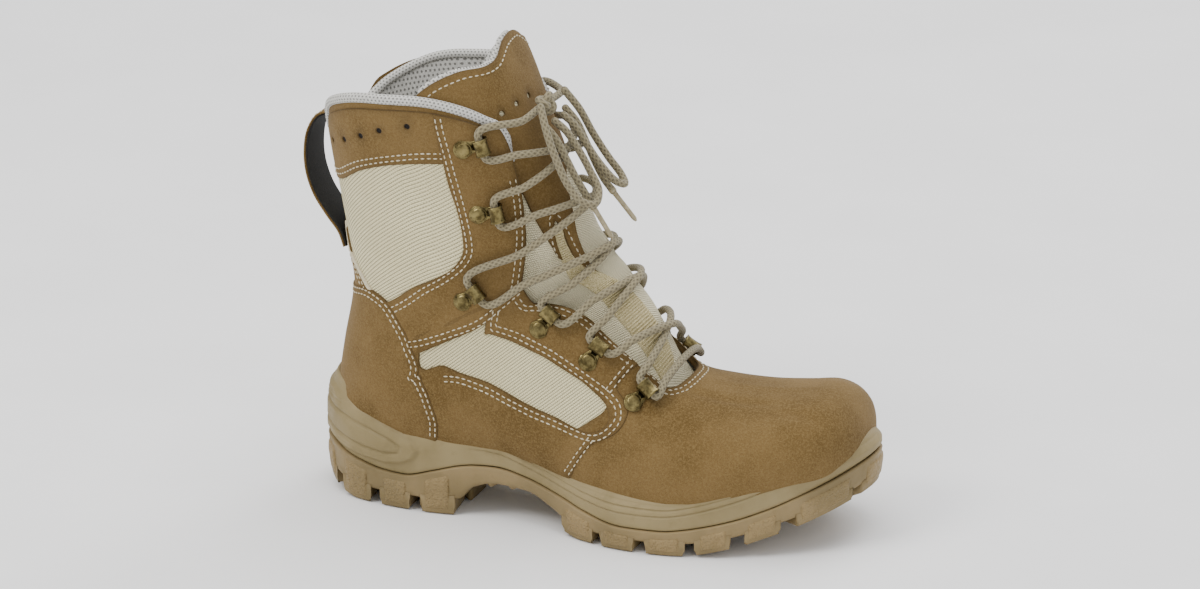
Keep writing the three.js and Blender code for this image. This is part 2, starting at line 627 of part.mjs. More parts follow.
function throatCut() {
  const steps = 34;
  const columns = 5;
  const [first, last] = [throatTable[0].row, throatTable.at(-1).row];
  const face = (out) => (i, j) => {
    const share = i / (steps - 1);
    const row = THREE.MathUtils.lerp(first, last, share ** 1.4);
    const half = along(throatTable, "row", "half", row);
    return lastOffset(row, 0.5 + half * ((2 * j) / (columns - 1) - 1), out);
  };
  return sheet(steps, columns, face(9), face(-wall - 7));
}

function upperSolid() {
  const points = [];
  for (const out of [0, -wall]) {
    for (let i = 0; i < upperRows; i++) {
      const line = [];
      for (let j = 0; j < upperColumns; j++) {
        const around = j / (upperColumns - 1);
        line.push(lastOffset(upperRowAt(i, around), around, out));
      }
      if (i >= heelLine) closeBack(line);
      points.push(...line);
    }
  }
  const below = upperRows * upperColumns;
  const faces = [...gridFaces(upperRows, upperColumns, 0), ...gridFaces(upperRows, upperColumns, below, true)];
  const rim = (a, b) => faces.push([a, a + below, b + below, a, b + below, b]);
  for (let j = 0; j < upperColumns - 1; j++) rim(j, j + 1);
  for (let j = upperColumns - 1; j > 0; j--) {
    const start = (upperRows - 1) * upperColumns;
    rim(start + j, start + j - 1);
  }
  for (let i = 0; i < heelLine; i++) {
    rim(i * upperColumns + upperColumns - 1, (i + 1) * upperColumns + upperColumns - 1);
    rim((i + 1) * upperColumns, i * upperColumns);
  }
  return solidFrom(points, faces).subtract(throatCut());
}

function tongueSolid() {
  const rows = 19;
  const columns = 11;
  const first = tongueTable[0].row;
  const face = (inner) => (i, j) => {
    const across = (2 * j) / (columns - 1) - 1;
    const top = THREE.MathUtils.lerp(tongueTop.middle, tongueTop.side, Math.abs(across) ** 1.6);
    const row = THREE.MathUtils.lerp(first, top, i / (rows - 1));
    const half = along(tongueTable, "row", "half", row);
    const open = along(throatTable, "row", "half", Math.max(row, throatTable[0].row)) * 0.86;
    const crown = Math.max(0, 1 - ((across * half) / open) ** 2);
    const proud = along(tongueTable, "row", "swell", row, true);
    const swell = proud < 0 ? proud : proud * crown ** 0.7;
    const thin = tongueThickness * along(tongueTable, "row", "thick", row) * (1 - 0.55 * across ** 4);
    const out = -wall - 0.9 + swell - (inner ? thin : 0);
    return lastOffset(row, 0.5 + half * across, out);
  };
  return sheet(rows, columns, face(false), face(true));
}

// A strap of even width along a path in the boot's middle plane.
function pullLoopSolid() {
  const path = new THREE.CatmullRomCurve3(
    [
      [11.9, 131],
      [9.2, 138.5],
      [2.4, 147.5],
      [-4.6, 158],
      [-8.8, 170],
      [-9.6, 182],
      [-7.4, 193.5],
      [-2, 201.4],
      [4, 203.4],
      [9.2, 201.2],
      [11, 194],
    ].map(([x, z]) => new THREE.Vector3(x, 0, z)),
  );
  const steps = 18;
  const loops = [];
  for (let i = 0; i <= steps; i++) {
    const p = path.getPointAt(i / steps);
    const way = path.getTangentAt(i / steps);
    const out = new THREE.Vector3(way.z, 0, -way.x).multiplyScalar(loopThickness / 2);
    const side = new THREE.Vector3(0, loopWidth / 2, 0);
    const corner = (a, b) => p.clone().addScaledVector(out, a).addScaledVector(side, b);
    loops.push([corner(-1, -1), corner(1, -1), corner(1, 1), corner(-1, 1)]);
  }
  return stack(loops);
}

// Hooks and eyelets --------------------------------------------------------------------------------------------

// A rivet's own frame on the upper: x towards its ring, z out of the leather, y along the edge of the facing.
function rivetFrame(spec, side) {
  const place = (around) => (side < 0 ? around : 1 - around);
  const at = lastPoint(spec.row, place(spec.around));
  const out = lastNormal(spec.row, place(spec.around)).add(lastNormal(spec.ringRow, place(spec.ringAround)));
  out.normalize();
  const toRing = lastPoint(spec.ringRow, place(spec.ringAround)).sub(at);
  toRing.addScaledVector(out, -toRing.dot(out)).normalize();
  const edge = out.clone().cross(toRing);
  const ring = lastPoint(spec.ringRow, place(spec.ringAround));
  const lift = Math.max(0, ring.clone().sub(at).dot(out));
  at.addScaledVector(out, 1.1 + lift);
  return new THREE.Matrix4().makeBasis(toRing, edge, out).setPosition(at);
}

function hardwareSolid(open) {
  const { rivetRadius, rivetHeight, plateWidth, plateThickness, ringReach, ringInner, ringOuter, ringLength } = hardware;
  const plateShape = new THREE.Shape();
  plateShape.absarc(0, 0, plateWidth / 2 + 0.4, Math.PI / 2, (3 * Math.PI) / 2, false);
  plateShape.lineTo(ringReach, -ringLength / 2);
  plateShape.lineTo(ringReach, ringLength / 2);
  const plate = new THREE.ExtrudeGeometry(plateShape, { depth: plateThickness, bevelEnabled: false, curveSegments: 5 });
  const cap = [new THREE.Vector2(0, 0.2), new THREE.Vector2(rivetRadius, 0.2)];
  for (let i = 1; i <= 3; i++) {
    const angle = (i * Math.PI) / 6;
    cap.push(
      new THREE.Vector2(rivetRadius * Math.cos(angle), plateThickness + (rivetHeight - plateThickness) * Math.sin(angle)),
    );
  }
  cap[cap.length - 1].x = 0;
  const rivet = new THREE.LatheGeometry(cap, 8).rotateX(Math.PI / 2);
  // The ring lies along y, over the end of the plate.
  const start = open ? -0.5 * Math.PI : 0;
  const sweep = open ? 1.35 * Math.PI : 2 * Math.PI;
  const ringShape = new THREE.Shape();
  ringShape.absarc(0, 0, ringOuter, start, start + sweep, false);
  if (open) {
    ringShape.absarc(0, 0, ringInner, start + sweep, start, true);
  } else {
    ringShape.holes.push(new THREE.Path().absarc(0, 0, ringInner, 0, 2 * Math.PI, true));
  }
  const ring = new THREE.ExtrudeGeometry(ringShape, { depth: ringLength, bevelEnabled: false, curveSegments: 5 });
  ring.translate(0, 0, -ringLength / 2).rotateX(Math.PI / 2).translate(ringReach, 0, ringOuter + 0.02);
  return joined([solidOf(plate), solidOf(rivet), solidOf(ring)]);
}

// Where a lace leaves a ring: end is 1 at the ring's upper end and -1 at its lower end.
function ringMouth(index, side, end, clear = 3.1) {
  const spec = hardwareTable[index];
  const reach = hardware.ringLength / 2 + clear;
  const edge = side < 0 ? end * reach : -end * reach;
  const at = new THREE.Vector3(hardware.ringReach, edge, hardware.ringOuter).applyMatrix4(rivetFrame(spec, side));
  const around = side < 0 ? spec.ringAround : 1 - spec.ringAround;
  const perRow = lastPoint(spec.ringRow + 0.5, around).distanceTo(lastPoint(spec.ringRow - 0.5, around));
  return { at, row: spec.ringRow + (end * reach) / perRow, around };
}

// Laces --------------------------------------------------------------------------------------------------------

const ringOf = (sides, radius) => {
  const shape = new THREE.Shape();
  for (let i = 0; i < sides; i++) {
    const angle = (2 * Math.PI * i) / sides;
    shape[i ? "lineTo" : "moveTo"](radius * Math.cos(angle), radius * Math.sin(angle));
  }
  return shape;
};

function tube(points, steps, diameter = laceDiameter, sides = 8) {
  const path = new THREE.CatmullRomCurve3(points);
  const options = { steps, extrudePath: path, bevelEnabled: false };
  return solidOf(new THREE.ExtrudeGeometry(ringOf(sides, diameter / 2), options));
}

// A lace from one mouth to another over the tongue; lift raises its middle, in rows.
function laceRun(from, to, lift = 0) {
  const points = [from.at];
  for (const t of [0.24, 0.37, 0.5, 0.63, 0.76]) {
    const row = THREE.MathUtils.lerp(from.row, to.row, t) + lift * Math.sin(Math.PI * t);
    const around = THREE.MathUtils.lerp(from.around, to.around, t);
    points.push(lastOffset(row, around, laceLift));
  }
  points.push(to.at);
  return tube(points, 9, laceDiameter, 6);
}

const crossingNames = ["collar", "shaft", "ankle", "instep", "vamp"];
const crossingLifts = [0, 0.35, 0.45, 0.15, -0.1];
function laceCross(index) {
  const runs = [-1, 1].map((side) =>
    laceRun(ringMouth(index, side, -1), ringMouth(index + 1, -side, 1), crossingLifts[index]),
  );
  return joined(runs);
}

// From each top hook to the knot.
function laceLead(side) {
  const from = ringMouth(0, side, 1);
  const mid = lastOffset(knot.row - 0.15, 0.5 + side * 0.075, laceLift);
  const end = knotCentre.clone().add(new THREE.Vector3(-2, side * (knot.radius * knot.wide + 1), -1));
  return tube([from.at, mid, end], 6, laceDiameter, 6);
}

const knotCentre = lastOffset(knot.row, knot.around, knot.out);
const boot = new THREE.Group();
const materials = {
  suede: new THREE.MeshStandardMaterial({ color: 0x96764c, roughness: 0.95 }),
  textile: new THREE.MeshStandardMaterial({ color: 0xded6b4, roughness: 0.9 }),
  midsole: new THREE.MeshStandardMaterial({ color: 0x968662, roughness: 0.7 }),
  outsole: new THREE.MeshStandardMaterial({ color: 0x83704e, roughness: 0.8 }),
  brass: new THREE.MeshStandardMaterial({ color: 0x87784b, roughness: 0.35, metalness: 1 }),
  lace: new THREE.MeshStandardMaterial({ color: 0x928668, roughness: 0.9 }),
};

function addPiece(name, solid, material, matrix) {
  const { numProp, vertProperties, triVerts } = solid.getMesh();
  const positions = new Float32Array((vertProperties.length / numProp) * 3);
  for (let i = 0; i < positions.length / 3; i++) {
    for (let k = 0; k < 3; k++) positions[3 * i + k] = vertProperties[i * numProp + k];
  }
  const geometry = new THREE.BufferGeometry();
  geometry.setAttribute("position", new THREE.BufferAttribute(positions, 3));
  geometry.setIndex(new THREE.BufferAttribute(new Uint32Array(triVerts), 1));
  const mesh = new THREE.Mesh(geometry, material.clone());
  mesh.name = name;
  if (matrix) mesh.applyMatrix4(matrix);
  boot.add(mesh);
  return mesh;
}

addPiece("outsole", outsoleSolid(), materials.outsole);
addPiece("midsole", midsoleSolid(), materials.midsole);
addPiece("insole", insoleSolid(), materials.textile);
addPiece("upper", upperSolid(), materials.suede);
addPiece("tongue", tongueSolid(), materials.suede);
addPiece("pull_loop", pullLoopSolid(), materials.suede);

for (const spec of hardwareTable) {
  for (const [label, side] of [
    ["lateral", -1],
    ["medial", 1],
  ]) {
    addPiece(`${spec.name}_${label}`, hardwareSolid(spec.open), materials.brass, rivetFrame(spec, side));
  }
}

addPiece("lace_bar_toe", laceRun(ringMouth(5, -1, -1), ringMouth(5, 1, -1), 0.1), materials.lace);
crossingNames.forEach((name, index) => addPiece(`lace_cross_${name}`, laceCross(index), materials.lace));
addPiece("lace_lead_lateral", laceLead(-1), materials.lace);
addPiece("lace_lead_medial", laceLead(1), materials.lace);

const knotShape = new THREE.SphereGeometry(knot.radius, 8, 6).scale(1, knot.wide, 1.1);
const freeLaces = [addPiece("lace_knot", solidOf(knotShape.translate(...knotCentre)), materials.lace)];
for (const [name, rows] of Object.entries(bowRoutes)) {
  const points = rows.map((p) => lastOffset(p.row, p.around, p.out));
  freeLaces.push(addPiece(`lace_${name}`, tube(points, rows.length > 8 ? 14 : 7), materials.lace));
  if (!name.startsWith("end")) continue;
  const tip = points.at(-1);
  const way = tip.clone().sub(points.at(-2)).normalize();
  const start = tip.clone().addScaledVector(way, gap);
  const stop = start.clone().addScaledVector(way, aglet.length);
  freeLaces.push(addPiece(name.replace("end", "aglet"), tube([start, stop], 1, aglet.diameter), materials.lace));
}

// The origin goes under the middle of the boot without its free laces, on the ground.
const box = new THREE.Box3();
for (const mesh of boot.children) {
  if (!freeLaces.includes(mesh)) box.union(new THREE.Box3().setFromObject(mesh, true));
}
const middle = box.getCenter(new THREE.Vector3());
for (const mesh of boot.children) mesh.position.add(new THREE.Vector3(-middle.x, -middle.y, -box.min.z));

export default boot;
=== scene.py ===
import math
import bpy
import numpy as np
from mathutils import Matrix, Vector
from mathutils.geometry import delaunay_2d_cdt


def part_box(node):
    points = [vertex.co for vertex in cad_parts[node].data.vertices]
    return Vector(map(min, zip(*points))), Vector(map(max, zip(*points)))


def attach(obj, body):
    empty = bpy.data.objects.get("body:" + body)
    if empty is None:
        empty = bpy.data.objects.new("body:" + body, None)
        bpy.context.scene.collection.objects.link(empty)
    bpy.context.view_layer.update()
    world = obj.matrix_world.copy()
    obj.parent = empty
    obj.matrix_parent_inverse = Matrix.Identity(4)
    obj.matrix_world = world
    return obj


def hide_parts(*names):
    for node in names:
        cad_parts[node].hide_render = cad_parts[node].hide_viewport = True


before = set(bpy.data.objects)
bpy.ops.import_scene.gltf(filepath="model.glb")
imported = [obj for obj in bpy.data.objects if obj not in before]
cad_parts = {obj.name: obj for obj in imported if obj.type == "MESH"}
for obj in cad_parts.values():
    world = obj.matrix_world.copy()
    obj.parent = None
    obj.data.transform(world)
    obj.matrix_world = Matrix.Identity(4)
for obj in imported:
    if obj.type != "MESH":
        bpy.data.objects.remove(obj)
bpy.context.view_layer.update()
scene = bpy.context.scene
print("frame loaded")

# The boot is laid out in millimetres from the back of the heel, as in its own drawing, and turned into
# metres of the shared frame when a mesh is made
loopLow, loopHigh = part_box("pull_loop")
origin = np.array([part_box("outsole")[0].x * 1000, (loopLow.y + loopHigh.y) * 500, 0.0])


def toFrame(points):
    return (np.asarray(points, float) + origin) * 0.001


# camera, at the front outer quarter, a little above the boot
cameraSetup = {"turn": 20.6, "rise": 19.9, "away": 3.0, "lens": 174.0, "aim": (150, 0, 118)}


def addCamera(setup):
    turn, rise = math.radians(setup["turn"]), math.radians(setup["rise"])
    right = Vector((math.cos(turn), math.sin(turn), 0))
    back = Vector((math.sin(turn) * math.cos(rise), -math.cos(turn) * math.cos(rise), math.sin(rise)))
    up = back.cross(right)
    data = bpy.data.cameras.new("camera")
    data.lens, data.sensor_width = setup["lens"], 36
    camera = bpy.data.objects.new("camera", data)
    place = Matrix((right, up, back)).transposed().to_4x4()
    place.translation = Vector(toFrame(setup["aim"])) + back * setup["away"]
    camera.matrix_world = place
    scene.collection.objects.link(camera)
    scene.camera = camera


addCamera(cameraSetup)
print("camera set")


# Materials

class Wire:
    # a socket of a node tree that arithmetic can be written on
    def __init__(self, tree, socket):
        self.tree, self.socket = tree, socket

    def math(self, operation, *values):
        return addNode(self.tree, "ShaderNodeMath", {"operation": operation}, dict(enumerate(values)))

    def __add__(self, other):
        return self.math("ADD", self, other)

    def __radd__(self, other):
        return self.math("ADD", other, self)

    def __sub__(self, other):
        return self.math("SUBTRACT", self, other)

    def __rsub__(self, other):
        return self.math("SUBTRACT", other, self)

    def __mul__(self, other):
        return self.math("MULTIPLY", self, other)

    def __rmul__(self, other):
        return self.math("MULTIPLY", other, self)

    def __truediv__(self, other):
        return self.math("DIVIDE", self, other)

    def __pow__(self, other):
        return self.math("POWER", self, other)


def addNode(tree, kind, settings=None, sockets=None, output=0):
    node = tree.nodes.new(kind)
    for key, value in (settings or {}).items():
        setattr(node, key, value)
    for key, value in (sockets or {}).items():
        if isinstance(value, Wire):
            tree.links.new(value.socket, node.inputs[key])
        else:
            node.inputs[key].default_value = value
    return Wire(tree, node.outputs[output]) if len(node.outputs) else node


def colourOf(text, gain=1.0):
    parts = [int(text[i:i + 2], 16) / 255 for i in (0, 2, 4)]
    linear = [c / 12.92 if c <= 0.04045 else ((c + 0.055) / 1.055) ** 2.4 for c in parts]
    return (*[min(1.0, c * gain) for c in linear], 1.0)


def newFinish(name, paint):
    material = bpy.data.materials.new(name)
    material.use_nodes = True
    tree = material.node_tree
    shader = tree.nodes["Principled BSDF"]

    def node(kind, settings=None, sockets=None, output=0):
        return addNode(tree, kind, settings, sockets, output)

    for key, value in paint(node).items():
        if isinstance(value, Wire):
            tree.links.new(value.socket, shader.inputs[key])
        else:
            shader.inputs[key].default_value = value
    return material


def objectPlace(node):
    return node("ShaderNodeTexCoord", output=3)


def noise(node, place, scale, detail=2.0, rough=0.5):
    return node("ShaderNodeTexNoise", {}, {"Vector": place, "Scale": scale, "Detail": detail, "Roughness": rough})


def ramp(node, value, low, high, start=0.0, end=1.0):
    return node("ShaderNodeMapRange", {"interpolation_type": "SMOOTHSTEP"},
                {"Value": value, 1: low, 2: high, 3: start, 4: end})


def blend(node, share, first, second):
    return node("ShaderNodeMix", {"data_type": "RGBA"}, {0: share, 6: first, 7: second}, 2)


def bump(node, height, distance, strength):
    return node("ShaderNodeBump", {}, {"Height": height, "Distance": distance, "Strength": strength})


def flatPlace(node):
    split = node("ShaderNodeSeparateXYZ", {}, {0: node("ShaderNodeUVMap", {"uv_map": "flat"})})
    return split, Wire(split.tree, split.socket.node.outputs[1])


suedeTones = {"deep": "58431f", "main": "6f5833", "light": "7f6840", "nap": "8c774d", "edge": "3c2d17"}


def suedePaint(node):
    place, tones = objectPlace(node), suedeTones
    broad = noise(node, place, 17, 3, 0.55)
    patches = noise(node, place, 62, 4, 0.6)
    nap = noise(node, place, 900, 3, 0.7)
    fibres = noise(node, place, 2300, 2, 0.6)
    tone = ramp(node, broad * 0.72 + patches * 0.28, 0.34, 0.62)
    base = blend(node, tone, colourOf(tones["deep"]), colourOf(tones["main"]))
    base = blend(node, ramp(node, nap, 0.42, 0.66, 0.0, 0.5), base, colourOf(tones["light"]))
    base = blend(node, ramp(node, fibres, 0.56, 0.7, 0.0, 0.32), base, colourOf(tones["nap"]))
    base = blend(node, ramp(node, fibres, 0.46, 0.34, 0.0, 0.35), base, colourOf(tones["edge"]))
    rim = node("ShaderNodeAttribute", {"attribute_name": "rim"}, {}, 2)
    base = blend(node, rim * 0.6, base, colourOf(tones["edge"]))
    height = nap * 0.6 + fibres * 0.25 + patches * 0.6
    return {"Base Color": base, "Roughness": ramp(node, nap, 0.3, 0.7, 0.98, 0.86),
            "Normal": bump(node, height, 0.0005, 0.55), "Specular IOR Level": 0.22, "Sheen Weight": 0.1,
            "Sheen Roughness": 0.5, "Sheen Tint": (0.85, 0.7, 0.5, 1)}


def weavePaint(node, pitch=1.45, bead=1.25, slope=-0.7, light="e8deb0", dark="6d6140"):
    # a ribbed, tightly woven nylon: beads of thread in slanting rows
    across, along = flatPlace(node)
    c, s = math.cos(slope), math.sin(slope)
    ribs = (across * (s * 1000) + along * (c * 1000)) / pitch
    beads = (across * (c * 1000) - along * (s * 1000)) / bead
    line = ribs.math("FLOOR", ribs)
    hump = (ribs.math("FRACT", ribs) * math.pi)
    hump = hump.math("SINE", hump)
    step = (beads + line * 0.5)
    thread = step.math("FRACT", step) * math.pi
    thread = thread.math("SINE", thread)
    height = hump ** 0.6 * (0.45 + thread ** 0.7 * 0.55)
    place = objectPlace(node)
    uneven = noise(node, place, 40, 3)
    fuzz = noise(node, place, 1500, 2)
    # colour follows the threads' height, darker in the grooves between them: painted shade
    tone = height * 0.85 + fuzz * 0.3
    base = blend(node, ramp(node, tone, 0.12, 0.78), colourOf(dark), colourOf(light))
    base = blend(node, ramp(node, uneven, 0.35, 0.7, 0.0, 0.2), base, colourOf("bdb188"))
    return {"Base Color": base, "Roughness": 0.82, "Normal": bump(node, height, 0.0008, 0.9),
            "Specular IOR Level": 0.3, "Sheen Weight": 0.12}


def meshPaint(node, cell=2.1, light="cfcdc6", dark="55544f"):
    # knitted spacer lining: small holes in staggered rows, darkened with painted shade
    across, along = flatPlace(node)
    rows = along * (1000 / (cell * 0.8))
    line = rows.math("FLOOR", rows)
    stagger = across * (1000 / cell) + line * 0.5
    u = stagger.math("FRACT", stagger) - 0.5
    v = rows.math("FRACT", rows) - 0.5
    away = (u * u + v * v * 0.7)
    hole = ramp(node, away, 0.035, 0.075, 1.0, 0.0)
    place = objectPlace(node)
    fuzz = noise(node, place, 1300, 3)
    base = blend(node, ramp(node, fuzz, 0.3, 0.7), colourOf("b9b7b0"), colourOf(light))
    # the holes are darkened: painted shade inside them
    base = blend(node, hole * 0.75, base, colourOf(dark))
    height = (1 - hole) + fuzz * 0.35
    return {"Base Color": base, "Roughness": 0.9, "Normal": bump(node, height, 0.0005, 0.8),
            "Specular IOR Level": 0.25}


def rubberPaint(node, main, low, grain=0.35, pebble=0.0):
    place = objectPlace(node)
    cloud = noise(node, place, 26, 4)
    fine = noise(node, place, 2600, 2)
    dirt = noise(node, place, 120, 5, 0.65)
    base = blend(node, ramp(node, cloud, 0.3, 0.7), colourOf(low), colourOf(main))
    base = blend(node, ramp(node, dirt, 0.52, 0.72, 0.0, 0.25), base, colourOf(low, 0.75))
    height = fine * grain
    if pebble:
        cells = node("ShaderNodeTexVoronoi", {"feature": "SMOOTH_F1"}, {"Vector": place, "Scale": 780.0})
        height = height + ramp(node, cells, 0.1, 0.62, 1.0, 0.0) * pebble
    return {"Base Color": base, "Roughness": ramp(node, dirt, 0.3, 0.7, 0.52, 0.68),
            "Normal": bump(node, height, 0.0004 + 0.0003 * pebble, 0.7), "Specular IOR Level": 0.35}


def brassPaint(node):
    place = objectPlace(node)
    tarnish = noise(node, place, 210, 4, 0.6)
    spots = noise(node, place, 760, 3)
    base = blend(node, ramp(node, tarnish, 0.35, 0.68), colourOf("85784e"), colourOf("4a4026"))
    base = blend(node, ramp(node, spots, 0.56, 0.7, 0.0, 0.6), base, colourOf("332c1b"))
    return {"Base Color": base, "Metallic": 1.0, "Roughness": ramp(node, tarnish, 0.3, 0.7, 0.3, 0.46),
            "Normal": bump(node, spots, 0.0002, 0.35)}


def lacePaint(node, strands=10, lay=3.4):
    # a round braid: bundles that cross each other in two slanting families
    along, turn = flatPlace(node)
    one = along * (1000 / lay) + turn * (strands / 2)
    two = along * (1000 / lay) - turn * (strands / 2)
    first = one.math("FRACT", one) * math.pi
    second = two.math("FRACT", two) * math.pi
    first, second = first.math("SINE", first), second.math("SINE", second)
    over = first.math("MAXIMUM", first ** 1.2, second ** 1.2)
    place = objectPlace(node)
    fuzz = noise(node, place, 1700, 2)
    patch = noise(node, place, 90, 2)
    # colour follows the braid's relief, darker between the strands: painted shade
    base = blend(node, ramp(node, over + fuzz * 0.25, 0.45, 1.12), colourOf("645b46"), colourOf("8a8064"))
    base = blend(node, ramp(node, patch, 0.35, 0.7, 0.0, 0.25), base, colourOf("7d7459"))
    # lighter at the tops of the strand crossings: painted highlight, also standing for the lace's light flecks
    fleckAndHighlight = ramp(node, first * second, 0.86, 0.98, 0.0, 0.55)
    base = blend(node, fleckAndHighlight, base, colourOf("a0967a"))
    return {"Base Color": base, "Roughness": 0.85, "Normal": bump(node, over + fuzz * 0.3, 0.0005, 0.9),
            "Specular IOR Level": 0.3, "Sheen Weight": 0.15}


def plainPaint(node, light, dark, rough=0.8, scale=900, depth=0.0002):
    place = objectPlace(node)
    grain = noise(node, place, scale, 3)
    base = blend(node, ramp(node, grain, 0.3, 0.7), colourOf(dark), colourOf(light))
    return {"Base Color": base, "Roughness": rough, "Normal": bump(node, grain, depth, 0.6)}


suede = newFinish("suede", suedePaint)
cordura = newFinish("ribbed nylon", weavePaint)
gussetWeave = newFinish("gusset nylon", lambda node: weavePaint(node, 1.15, 1.1, 0.25, "f3e9c4", "b0a57c"))
liningMesh = newFinish("lining mesh", meshPaint)
midsoleRubber = newFinish("midsole", lambda node: rubberPaint(node, "8f7f59", "7b6c47"))
outsoleRubber = newFinish("outsole", lambda node: rubberPaint(node, "8c7852", "70603d", 0.3, 0.0))
pebbledRubber = newFinish("pebbled rubber", lambda node: rubberPaint(node, "927c54", "7a6843", 0.25, 1.0))
brass = newFinish("old brass", brassPaint)
braid = newFinish("braid", lacePaint)
thread = newFinish("thread", lambda node: plainPaint(node, "d9cfb4", "ab9f80", 0.75, 2600))
webbing = newFinish("webbing", lambda node: plainPaint(node, "d0c398", "9d8f62", 0.82, 1500, 0.0003))
blackTape = newFinish("black tape", lambda node: plainPaint(node, "1c1b1a", "0c0b0b", 0.85, 1400, 0.0003))
# near-black finish for the floors of the vent holes: painted shade inside the holes
ventShadeFinish = newFinish("hole", lambda node: plainPaint(node, "191410", "0d0a08", 0.95))
aglet = newFinish("aglet", lambda node: plainPaint(node, "a89c7c", "8d8162", 0.35, 400))
print("finishes made")


# The last: the boot's inner form, as sections from the toe back and up the shaft

soleLength, lastInset, wall, heelRow = 298.0, 7.0, 2.4, 16

# sole edge on each side of the centre line
outlineTable = np.array([  # x, lateral, medial
    (0, 0, 0), (3.1, 15.9, 17), (7.7, 22.7, 24), (12.7, 28.2, 29), (22.6, 34.4, 35), (34, 37.6, 38.2),
    (50, 40.2, 40.6), (68, 41, 40.8), (88, 39, 39.6), (104, 38, 38.2), (124, 39.6, 36.6), (137, 42.2, 37.4),
    (148, 45.8, 40.8), (160, 50, 46.4), (173, 53.3, 52.8), (187, 54.4, 56.6), (203, 53.6, 59.4),
    (220, 49.9, 61.2), (237, 45.2, 61), (254, 37.2, 58.6), (268, 29.4, 54.9), (280, 19.8, 49.4),
    (289, 9.2, 40.2), (295, -1.4, 29), (298, -15, 15)])

heightTable = np.array([  # x, lug tips, plate, parting line, footbed, midsole rim
    (0, 9, 15, 29, 35.2, 63), (8, 5, 12, 28, 35, 62), (20, 1.2, 8.6, 24.5, 34.8, 59), (30, 0, 7.5, 22, 34.6, 56.5),
    (42, 0, 7.5, 19.8, 34.4, 52), (55, 0, 7.5, 19.2, 34.2, 47.5), (72, 0, 7.5, 23.5, 33.9, 47.8),
    (86, 0, 9, 27.4, 33.6, 48.2), (93, 13, 16, 28.6, 33.4, 48), (106, 17.3, 19.5, 29.2, 33, 46),
    (124, 16.3, 18.5, 26.2, 30.8, 39.3), (138, 9, 12.5, 22.3, 27.8, 34.8), (148, 1.5, 8, 19.6, 25.4, 32.4),
    (156, 0, 6.2, 17.2, 23.8, 31), (182, 0, 6, 12.6, 20.4, 28.8), (203, 0, 6, 12.8, 19.9, 28.2),
    (212, 0, 6.2, 13.8, 20.4, 29.2), (238, 5, 10.6, 19.8, 25.2, 36.4), (255, 10.6, 15.8, 25.6, 30.8, 42.6),
    (270, 16.4, 21.2, 32.4, 36.8, 47.2), (283, 22, 26.4, 38.6, 42.4, 51), (292, 26.3, 30.4, 43.2, 46, 54),
    (298, 29.5, 33.5, 46.4, 48.4, 56.2)])

swingTable = np.array([(0, 0), (105, 0), (135, -1.6), (160, -1), (184, 1), (203, 3), (220, 5.6), (237, 8),
                       (254, 10.6), (268, 12.8), (284, 14.6), (298, 15)], float)

sectionTable = np.array([  # back x, back z (0: on the footbed), front x, front z, half width, widest, low, high
    (266, 0, 291.2, 45.6, 36.5, .02, 2.2, 2.3), (262.5, 0, 291.8, 52, 38.6, .08, 2.3, 2.3),
    (258.5, 0, 290.6, 60.5, 40.8, .16, 2.4, 2.4), (254, 0, 287, 68, 43, .22, 2.4, 2.5),
    (248.5, 0, 280.4, 73.8, 45.2, .26, 2.4, 2.5), (242, 0, 270.2, 76.4, 47.4, .28, 2.4, 2.5),
    (233, 0, 255.6, 75, 49.6, .3, 2.4, 2.4), (220, 0, 235.5, 74.2, 51.4, .3, 2.4, 2.3),
    (203, 0, 214, 76, 52, .3, 2.4, 2.2), (184, 0, 197.5, 80.5, 50, .3, 2.4, 2.1),
    (159, 0, 189, 92.5, 45, .32, 2.3, 2), (130, 0, 182, 105, 41.2, .34, 2.2, 2),
    (98, 0, 175, 116, 40.4, .36, 2.2, 2), (66, 0, 168.5, 125, 40.8, .38, 2.2, 2),
    (38, 0, 163, 132, 41, .4, 2.2, 2), (16.5, 0, 159, 137, 41, .41, 2.2, 2), (7, 0, 155.4, 141.6, 40.8, .42, 2.2, 2),
    (7.6, 52, 152, 146.8, 40.6, .43, 2.2, 2.05), (11.8, 80, 148.4, 153.4, 40, .44, 2.2, 2.1),
    (17.2, 110, 144.2, 162, 39.6, .45, 2.2, 2.15), (14.6, 132, 139, 173.5, 40.6, .45, 2.2, 2.2),
    (10.6, 158, 132.2, 188.5, 43, .45, 2.2, 2.3), (7.4, 179, 125, 204, 45.6, .45, 2.2, 2.4),
    (4.8, 199, 118.2, 219, 48, .45, 2.2, 2.5), (2.5, 220, 112, 233.5, 49.6, .45, 2.2, 2.5),
    (1, 238, 105.5, 246.5, 50, .45, 2.2, 2.5), (0, 255, 98, 258.5, 50, .45, 2.2, 2.5)])

collarTable = np.array([(0, 22.95), (.045, 22.98), (.1, 23.82), (.2, 24.18), (.27, 24.05), (.32, 23.72),
                        (.36, 23.25), (.4, 22.55), (.5, 22.3), (.6, 22.75), (.64, 23.35), (.69, 23.85),
                        (.77, 23.9), (.87, 23.5), (.955, 22.98), (1, 22.95)])


